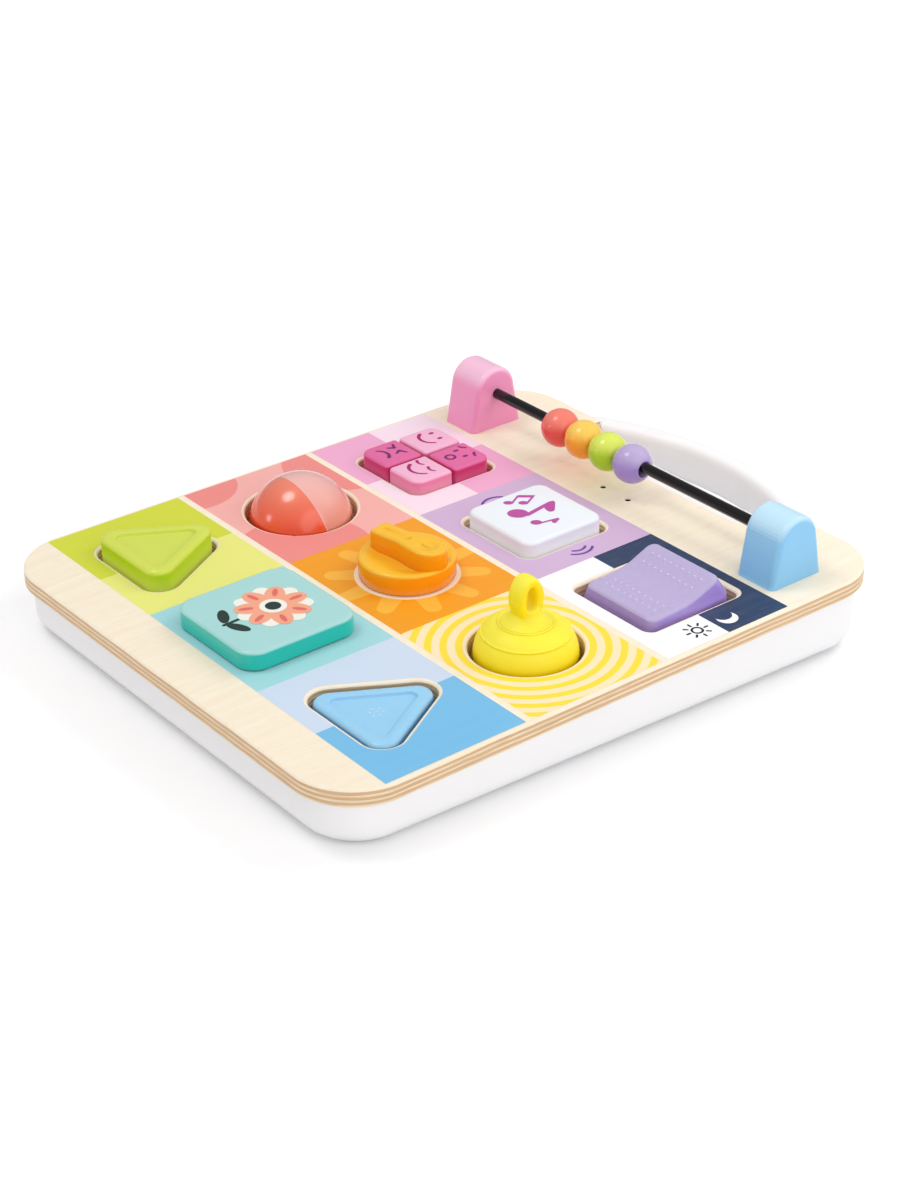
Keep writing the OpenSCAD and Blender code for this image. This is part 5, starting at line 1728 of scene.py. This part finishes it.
@dataclass
class SquareCaps:
    """The four face caps and the music cap."""

    outer: float = 26.1
    gap_half: float = 0.9
    flange: float = 30.4
    corner_r: float = 6.5
    inner_r: float = 2.2
    face_top: float = 6.5
    face_edge: float = 2.0
    music_r: float = 6.7
    music_top: float = 7.0
    music_edge: float = 2.2

    def face(self, mood: str, across: int, along: int, slot: str, finish: Finish) -> None:
        """Make one face cap.

        Args:
            mood: The face's name.
            across: The cap's side across the board, -1 or 1.
            along: The cap's side along the board, -1 or 1.
            slot: The record's material slot.
            finish: The cap's finish.
        """
        low, high = zip(*(sorted((side * self.gap_half, side * self.outer)) for side in (across, along)))
        flange_low, flange_high = zip(*(sorted((side * self.gap_half, side * self.flange))
                                        for side in (across, along)))
        signs = ((-1, -1), (1, -1), (1, 1), (-1, 1))
        radii = [self.corner_r if sign == (across, along) else self.inner_r for sign in signs]
        SoftCap(mood + "_cap_skin", mood + "_button", mood, slot, finish, 0, low, high, radii, flange_low,
                flange_high, self.face_top, self.face_edge).build()

    def build(self) -> None:
        """Make the five caps."""
        self.face("smile", -1, 1, "pale_pink", PALE_FACE)
        self.face("surprised", 1, 1, "deep_pink", DEEP_FACE)
        self.face("grumpy", -1, -1, "deep_pink", DEEP_FACE)
        self.face("sleepy", 1, -1, "pale_pink", PALE_FACE)
        SoftCap("music_cap_skin", "music_button", "music", "white_gloss", MUSIC_CAP, 1,
                (-self.outer, -self.outer), (self.outer, self.outer), [self.music_r] * 4,
                (-self.flange, -self.flange), (self.flange, self.flange), self.music_top,
                self.music_edge).build()


@dataclass
class RockerCap:
    """The day and night rocker: a drafted block with a saddle top and rows of small bumps."""

    pivot_z: float = -14.0
    pivot_y: float = 1.0
    tilt: float = 9.0
    base_w: float = 53.0
    base_l: float = 54.0
    top_w: float = 50.0
    top_l: float = 47.0
    skirt_z: float = -4.0
    base_z: float = 12.0
    bend_y: float = 2.0
    bend_z: float = 18.2
    bend_lean: float = 0.06
    bend_slope: float = 0.19
    bend_soft: float = 0.9
    corner_r: float = 4.4
    edge_r: float = 2.2
    bump_r: float = 0.95
    bump_sink: float = 0.45
    bump_pitch: float = 4.4
    bump_rows: tuple[float, ...] = (-15.0, -9.2, 10.0, 16.6)
    bump_count: int = 9
    side_points: int = 27
    top_steps: int = 20

    def saddle(self, y: float) -> float:
        """Shape the top: two gentle slopes that meet in a soft bend.

        Args:
            y: The distance along the rocker, in millimetres.
        Returns:
            The top's height over the pin.
        """
        run = y - self.bend_y
        rise = math.sqrt((self.bend_slope * run) ** 2 + self.bend_soft ** 2) - self.bend_soft
        return self.bend_z + self.bend_lean * run + rise

    def outline(self, width: float, length: float) -> Loop:
        """Give a rounded box's outline, with points along its sides for the bend."""
        corners = box_corners(width, length, self.corner_r)
        return rounded_loop(corners, self.corner_r, between=self.side_points)

    def rings(self) -> list[Ring]:
        """Give the rocker's skin.

        Returns:
            The rings from the skirt up and in to the middle of the saddle.
        """
        foot = self.outline(self.base_w, self.base_l)
        made = [[(x, y, z) for x, y in foot] for z in (self.skirt_z, self.base_z)]
        inner: Loop = foot
        for inset, drop in quarter_round(self.edge_r):
            inner = self.outline(self.top_w - 2.0 * inset, self.top_l - 2.0 * inset)
            made.append([(x, y, self.saddle(y) - drop) for x, y in inner])
        for k in range(1, self.top_steps):
            share = 1.0 - k / self.top_steps
            made.append([(x * share, y * share, self.saddle(y * share)) for x, y in inner])
        return made

    def build(self) -> None:
        """Make the rocker and hide the solid that it stands in for."""
        mesh = bmesh.new()
        loft(mesh, self.rings())
        x, y = BOARD.tile(2, 2)
        lean = Matrix.Rotation(math.radians(self.tilt), 4, "X")
        place = BOARD.matrix(x, y + self.pivot_y, self.pivot_z) @ lean
        piece = add_piece("rocker_skin", skin_of(mesh, "rocker_skin"), LILAC, place, "rocker")
        columns = [(k - self.bump_count // 2) * self.bump_pitch for k in range(self.bump_count)]
        spots = [(column, row, self.saddle(row) - self.bump_sink)
                 for row in self.bump_rows for column in columns]
        # the dots' lighter tone is a painted highlight
        add_dots("rocker_dots", spots, self.bump_r, LIT_LILAC_DOT, place, "rocker")
        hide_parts("day_night_rocker")


def remeshed(mesh: bmesh.types.BMesh, name: str, voxel: float, rounds: int) -> bpy.types.Mesh:
    """Fuse a mesh's shells into one skin and soften its edges.

    Args:
        mesh: The shells; it is freed.
        name: The new mesh's name.
        voxel: The voxel's size, in millimetres.
        rounds: How often the skin is smoothed.
    Returns:
        The fused mesh.
    """
    data = bpy.data.meshes.new(name)
    bmesh.ops.recalc_face_normals(mesh, faces=mesh.faces[:])
    mesh.to_mesh(data)
    mesh.free()
    holder = bpy.data.objects.new(name + "_holder", data)
    bpy.context.scene.collection.objects.link(holder)
    fuse = holder.modifiers.new("fuse", "REMESH")
    fuse.mode = "VOXEL"
    fuse.voxel_size = voxel * MM
    soften = holder.modifiers.new("soften", "SMOOTH")
    soften.factor = 0.5
    soften.iterations = rounds
    graph = bpy.context.evaluated_depsgraph_get()
    fused = bpy.data.meshes.new_from_object(holder.evaluated_get(graph))
    bpy.data.objects.remove(holder)
    return fused


@dataclass
class PullHandle:
    """The soft yellow pull: a stepped bell and a finger loop."""

    bell_r: float = 25.8
    belly_r: float = 21.5
    belly_h: float = -4.0
    tier_r: float = 22.0
    tier_h: float = 8.5
    cap_r: float = 13.9
    cap_h: float = 13.8
    loop_top: float = 38.4
    loop_half_w: float = 8.2
    loop_half_t: float = 5.2
    hole_half_w: float = 2.7
    hole_low: float = 20.5
    hole_high: float = 33.0
    flange_r: float = 31.2
    flange_low: float = -19.8
    flange_high: float = -17.3
    flange_soft: float = 0.4
    skirt_in: float = 0.6
    skirt_drop: float = 1.5
    foot_soft: float = 0.5
    belly_turn: float = 34.6
    tier_bead: Spot = (0.15, 0.1, 0.55)
    cap_bead: Spot = (0.25, 0.15, 0.45)
    shoulder: Spot = (11.24, 8.34, 13.9)
    shoulder_turn: Point = (39.5, 74.0)
    lip: float = 1.2
    neck_root: float = 3.0
    neck_in: float = 1.6
    neck_slope: Spot = (0.6, 8.2, 8.0)
    neck_turn: Point = (258.0, 186.0)
    neck_r: float = 5.6
    neck_rise: Point = (1.0, 1.6)
    loop_root: float = 1.0
    loop_waist: float = 0.16
    fullness: float = 0.7
    voxel: float = 0.45
    soften_rounds: int = 6
    bell_steps: int = 128

    def bell_profile(self) -> Loop:
        """Give the bell's outline.

        Returns:
            Radius and height from the flange up to the top ridge.
        """
        rim, soft, foot = self.flange_r, self.flange_soft, self.foot_soft
        skirt = self.bell_r - self.skirt_in
        points: Loop = [(0.0, self.flange_low), (rim - soft, self.flange_low), (rim, self.flange_low + soft),
                        (rim, self.flange_high - soft), (rim - soft, self.flange_high),
                        (skirt + foot, self.flange_high), (skirt, self.flange_high + foot),
                        (skirt, self.belly_h - self.skirt_drop)]
        middle = self.bell_r - self.belly_r
        points += arc_points(middle, self.belly_h, self.belly_r, 0.0, self.belly_turn, 20)
        points += self.ridge(self.tier_r, self.tier_h, self.tier_bead)
        inward, down, radius = self.shoulder
        points += arc_points(self.tier_r - inward, self.tier_h - down, radius, *self.shoulder_turn, 18)
        points += self.ridge(self.cap_r, self.cap_h, self.cap_bead)
        return points + [(self.cap_r - self.lip, self.cap_h), (0.0, self.cap_h)]

    def ridge(self, radius: float, height: float, bead: Spot) -> Loop:
        """Give the small round bead along a step, from how far in and down it lies and its radius."""
        inward, down, half = bead
        return arc_points(radius - inward, height - down, half, -40.0, 110.0, 8)

    def neck_profile(self) -> Loop:
        """Give the hollow slope from the top ridge into the loop.

        Returns:
            Radius and height from the bottom up.
        """
        outward, up, radius = self.neck_slope
        root = self.cap_h - self.neck_root
        slope = arc_points(self.cap_r + outward, self.cap_h + up, radius, *self.neck_turn, 16)
        top = [(self.neck_r, self.hole_low + self.neck_rise[0]), (0.0, self.hole_low + self.neck_rise[1])]
        return [(0.0, root), (self.cap_r - self.neck_in, root)] + slope + top

    def fuller(self, value: float) -> float:
        """Draw a sine or cosine out, for a section that is fuller than round."""
        return math.copysign(abs(value) ** self.fullness, value)

    def loop_shell(self, mesh: bmesh.types.BMesh, steps: int = 72, round_steps: int = 24) -> None:
        """Add the finger loop as a ring of round sections.

        Args:
            mesh: The mesh it goes into.
            steps: Sections round the hole.
            round_steps: Points on each section.
        """
        hole_mid = (self.hole_low + self.hole_high) / 2.0
        hole_half = (self.hole_high - self.hole_low) / 2.0
        low = self.cap_h - self.loop_root
        outer_mid = (low + self.loop_top) / 2.0
        outer_half = (self.loop_top - low) / 2.0
        rings = []
        for i in range(steps):
            angle = 2.0 * math.pi * i / steps
            east, north = math.cos(angle), math.sin(angle)
            narrow = 1.0 - self.loop_waist * max(0.0, -north)
            inner = Vector((0.0, self.hole_half_w * east, hole_mid + hole_half * north))
            outer = Vector((0.0, self.loop_half_w * narrow * east, outer_mid + outer_half * north))
            middle = (inner + outer) / 2.0
            reach = (outer - inner) / 2.0
            ring = []
            for k in range(round_steps):
                turn = 2.0 * math.pi * k / round_steps
                swell = Vector((self.loop_half_t * self.fuller(math.sin(turn)), 0.0, 0.0))
                point = middle + reach * self.fuller(math.cos(turn)) + swell
                ring.append(mesh.verts.new(point * MM))
            rings.append(ring)
        for i, ring in enumerate(rings):
            after = rings[(i + 1) % steps]
            for k in range(round_steps):
                j = (k + 1) % round_steps
                mesh.faces.new([ring[k], after[k], after[j], ring[j]])

    def build(self) -> None:
        """Make the pull in one mesh and hide the solid that it stands in for."""
        upper = bmesh.new()
        revolve(upper, self.neck_profile())
        self.loop_shell(upper)
        fused = remeshed(upper, "pull_loop", self.voxel, self.soften_rounds)
        whole = bmesh.new()
        revolve(whole, self.bell_profile(), self.bell_steps)
        bmesh.ops.recalc_face_normals(whole, faces=whole.faces[:])
        whole.from_mesh(fused)
        data = bpy.data.meshes.new("pull_skin")
        whole.to_mesh(data)
        whole.free()
        data.shade_smooth()
        bpy.data.meshes.remove(fused)
        place = BOARD.matrix(*BOARD.tile(2, 1))
        piece = add_piece("pull_skin", data, SILICONE, place, "pull")
        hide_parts("silicone_pull")


@dataclass
class TurningKnob:
    """The orange knob: a disc with a scooped top and a grip that widens to one side."""

    disc_r: float = 24.9
    bottom: float = 0.6
    disc_top: float = 11.5
    grip_top: float = 21.0
    narrow_half: float = 6.0
    broad_half: float = 8.5
    heel_r: float = 20.4
    tip_x: float = 16.1
    dimple_x: float = 14.3
    scoop: float = 1.8
    dimple_depth: float = 1.3
    dimple_r: float = 6.3
    groove_depth: float = 1.1
    angle: float = 10.0
    rim_r: float = 1.7
    shaft_r: float = 5.0
    shaft_low: float = -12.3
    taper_start: float = -6.0
    taper_run: float = 20.0
    side_steps: int = 130
    tip_turn: float = 84.0
    scoop_rim: float = 1.2
    scoop_run: float = 9.0
    scoop_reach: float = 9.0
    dimple_power: float = 1.6
    groove_start: float = -16.0
    groove_end: float = 3.4
    groove_half: float = 1.3
    groove_widen: float = 2.2
    groove_end_r: float = 3.4
    groove_slope: float = 0.75
    foot_soft: float = 0.4
    grip_root: float = 2.0
    shaft_root: float = 1.0
    top_steps: int = 30
    round_steps: int = 180
    inmost: float = 0.994

    def half_width(self, x: float) -> float:
        """Give the grip's half-width at a distance along it."""
        ease = eased((x - self.taper_start) / self.taper_run)
        return self.narrow_half + (self.broad_half - self.narrow_half) * ease

    def grip_loop(self) -> Loop:
        """Give the grip's outline seen from above.

        Returns:
            The outline's points, anticlockwise.
        """
        reach = math.degrees(math.asin(self.narrow_half / self.heel_r))
        start_x = -self.heel_r * math.cos(math.radians(reach))
        steps = [start_x + i * (self.tip_x - start_x) / self.side_steps for i in range(self.side_steps + 1)]
        near = [(x, -self.half_width(x)) for x in steps]
        far = [(x, self.half_width(x)) for x in reversed(steps)]
        tip = arc_points(self.tip_x, 0.0, self.broad_half, -self.tip_turn, self.tip_turn, 60)
        heel = arc_points(0.0, 0.0, self.heel_r, 180.0 - reach, 180.0 + reach, 40)
        return near + tip + far + heel[1:-1]

    def dish(self, x: float, y: float) -> float:
        """Shape the scoop in the disc's top.

        Args:
            x: The distance along the grip, in millimetres.
            y: The distance across the grip.
        Returns:
            How far the top is scooped out there.
        """
        inside = eased((self.disc_r - self.scoop_rim - math.hypot(x, y)) / self.scoop_run)
        near = math.exp(-((abs(y) - self.half_width(x)) / self.scoop_reach) ** 2)
        return self.scoop * inside * near

    def hollow(self, x: float, y: float) -> float:
        """Shape the dimple and the groove in the grip's top.

        Args:
            x: The distance along the grip, in millimetres.
            y: The distance across the grip.
        Returns:
            How deep the top is pressed in there.
        """
        away = min(1.0, math.hypot(x - self.dimple_x, y) / self.dimple_r)
        dimple = self.dimple_depth * (0.5 + 0.5 * math.cos(math.pi * away ** self.dimple_power))
        start, end = self.groove_start, self.groove_end
        along = min(1.0, max(0.0, (x - start) / (end - start)))
        half = self.groove_half + self.groove_widen * along
        line_x = min(max(x, start + self.groove_half), end - self.groove_end_r)
        aside = math.hypot(x - line_x, y) / half
        groove = self.groove_depth * eased((1.0 - aside) / self.groove_slope)
        return max(dimple, groove)

    def disc_rings(self) -> list[Ring]:
        """Give the disc's skin.

        Returns:
            The rings from its foot over the soft rim and in to the middle of the scooped top.
        """
        profile = [(self.disc_r - self.foot_soft, self.bottom), (self.disc_r, self.bottom + self.foot_soft)]
        profile += [(self.disc_r - inset, self.disc_top - drop) for inset, drop in quarter_round(self.rim_r)]
        inner = self.disc_r - self.rim_r
        profile += [(inner * (1.0 - k / self.top_steps), self.disc_top) for k in range(1, self.top_steps)]
        rings = []
        for radius, height in profile:
            spots = circle_points(0.0, 0.0, radius, self.round_steps)
            rings.append([(x, y, height - self.dish(x, y)) for x, y in spots])
        return rings

    def drawn_in(self, x: float, y: float, inset: float) -> Point:
        """Move a point of the grip's outline towards the grip's middle line.

        Args:
            x: The point's distance along the grip, in millimetres.
            y: The point's distance across the grip.
            inset: How far it moves.
        Returns:
            The moved point.
        """
        east = self.middle_x(x) - x
        reach = math.hypot(east, y)
        return (x + east / reach * inset, y - y / reach * inset)

    def middle_x(self, x: float) -> float:
        """Give the nearest place on the grip's middle line."""
        return min(max(x, self.narrow_half - self.heel_r), self.tip_x)

    def grip_rings(self) -> list[Ring]:
        """Give the grip's skin.

        Returns:
            The rings from inside the disc over the soft edge and in to the middle line.
        """
        loop = self.grip_loop()
        rings = [[(x, y, self.bottom + self.grip_root) for x, y in loop]]
        inner = loop
        for inset, drop in quarter_round(self.rim_r):
            inner = [self.drawn_in(x, y, inset) for x, y in loop]
            rings.append([(x, y, self.grip_top - drop) for x, y in inner])
        for k in range(1, self.top_steps + 1):
            share = min(k / self.top_steps, self.inmost)
            spots = [(x + (self.middle_x(x) - x) * share, y * (1.0 - share)) for x, y in inner]
            rings.append([(x, y, self.grip_top - self.hollow(x, y)) for x, y in spots])
        return rings

    def build(self) -> None:
        """Make the disc, the grip and the shaft in one mesh and hide the solid that it stands in for."""
        mesh = bmesh.new()
        loft(mesh, self.disc_rings())
        loft(mesh, self.grip_rings())
        shaft_high = self.bottom + self.shaft_root
        revolve(mesh, [(0.0, self.shaft_low), (self.shaft_r, self.shaft_low), (self.shaft_r, shaft_high),
                       (0.0, shaft_high)], 48)
        turn = Matrix.Rotation(math.radians(self.angle), 4, "Z")
        place = BOARD.matrix(*BOARD.tile(1, 1)) @ turn
        piece = add_piece("knob_skin", skin_of(mesh, "knob_skin"), KNOB, place, "knob")
        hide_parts("turn_knob")


# Camera and studio

@dataclass
class Studio:
    """The camera, the pale floor and the soft light."""

    eye: Spot = (850.27, -660.11, 581.05)
    sensor: float = 36.0
    clip: Point = (0.05, 50.0)
    lens: float = 71.72
    azimuth: float = 51.995
    elevation: float = 29.326
    roll: float = -0.728
    floor_half: float = 6.0
    floor_gap: float = 0.0002
    aim: Spot = (0.0, 0.0, 0.03)
    world_strength: float = 0.67
    mirrored_strength: float = 0.3

    def camera(self) -> None:
        """Set the camera at the photograph's place."""
        data = bpy.data.cameras.new("photo_camera")
        data.sensor_fit = "VERTICAL"
        data.sensor_height = self.sensor
        data.lens = self.lens
        data.clip_start, data.clip_end = self.clip
        camera = bpy.data.objects.new("photo_camera", data)
        bpy.context.scene.collection.objects.link(camera)
        turn = (Matrix.Rotation(math.radians(self.azimuth), 4, "Z")
                @ Matrix.Rotation(math.radians(90.0 - self.elevation), 4, "X")
                @ Matrix.Rotation(math.radians(self.roll), 4, "Z"))
        camera.matrix_world = BOARD.matrix(*self.eye) @ turn
        bpy.context.scene.camera = camera

    def floor(self) -> None:
        """Lay the floor under the feet."""
        mesh = bmesh.new()
        bmesh.ops.create_grid(mesh, x_segments=8, y_segments=8, size=self.floor_half)
        data = bpy.data.meshes.new("studio_floor")
        mesh.to_mesh(data)
        mesh.free()
        data.materials.append(StudioFloor("studio_floor_paint").material())
        floor = bpy.data.objects.new("studio_floor", data)
        floor.location.z = CAD_BOX[0][2] - self.floor_gap
        bpy.context.scene.collection.objects.link(floor)

    def lamp(self, name: str, place: Spot, size: float, power: float, mirrored: bool = True) -> None:
        """Hang a soft round lamp that looks at the board.

        Args:
            name: The lamp's name.
            place: Where it hangs, in metres.
            size: The width of its face, in metres.
            power: Its power, in watts.
            mirrored: Whether it is seen in reflections.
        """
        data = bpy.data.lights.new(name, "AREA")
        data.shape = "DISK"
        data.size = size
        data.energy = power
        lamp = bpy.data.objects.new(name, data)
        bpy.context.scene.collection.objects.link(lamp)
        lamp.location = place
        lamp.visible_glossy = mirrored
        aim = Vector(self.aim) - Vector(place)
        lamp.rotation_euler = aim.to_track_quat("-Z", "Y").to_euler()

    def world(self) -> None:
        """Make a white surround, dimmer as light than to the camera and dimmest in reflections."""
        world = bpy.data.worlds.new("white_surround")
        bpy.context.scene.world = world
        world.use_nodes = True
        graph = Graph(world.node_tree)
        path = graph.node("ShaderNodeLightPath").outputs
        seen = graph.math("MAXIMUM", path["Is Camera Ray"], path["Is Transmission Ray"])
        lit = graph.span(path["Is Glossy Ray"], 0.0, 1.0, self.world_strength, self.mirrored_strength)
        unseen = graph.math("MULTIPLY", graph.math("SUBTRACT", 1.0, seen), lit)
        graph.fill(world.node_tree.nodes["Background"], Color=(1.0, 1.0, 1.0, 1.0),
                   Strength=graph.math("ADD", seen, unseen))

    def build(self) -> None:
        """Set up everything that isn't part of the object."""
        bpy.context.scene.view_settings.view_transform = "Standard"
        self.camera()
        self.floor()
        self.world()
        self.lamp("key_lamp", (-0.42, -0.5, 1.36), 0.55, 4.2)
        self.lamp("front_lamp", (-0.74, -1.38, 0.4), 0.28, 0.9)
        self.lamp("side_lamp", (1.44, -0.2, 0.66), 1.8, 6.8)
        self.lamp("rear_lamp", (0.16, 0.42, 0.52), 0.4, 1.2, mirrored=False)


def main() -> None:
    """Build the studio, dress the solids and add the pieces, in order."""
    logging.basicConfig(level=logging.INFO, format="%(message)s")
    Studio().build()
    Carcass().dress()
    PrintSheet().build()
    FaceMarks().build()
    MusicMarks().build()
    FlowerMark().build()
    TriangleCap("green_cap_skin", "green_triangle", "green_button", "lime_gloss", LIME_CAP, 0).build()
    TriangleCap("blue_cap_skin", "blue_triangle", "blue_button", "blue_gloss", BLUE_CAP, 2, drop=10.0,
                dots=LIT_BLUE_DOT).build()
    SquareCaps().build()
    RockerCap().build()
    PullHandle().build()
    TurningKnob().build()


if __name__ == "__main__":
    main()
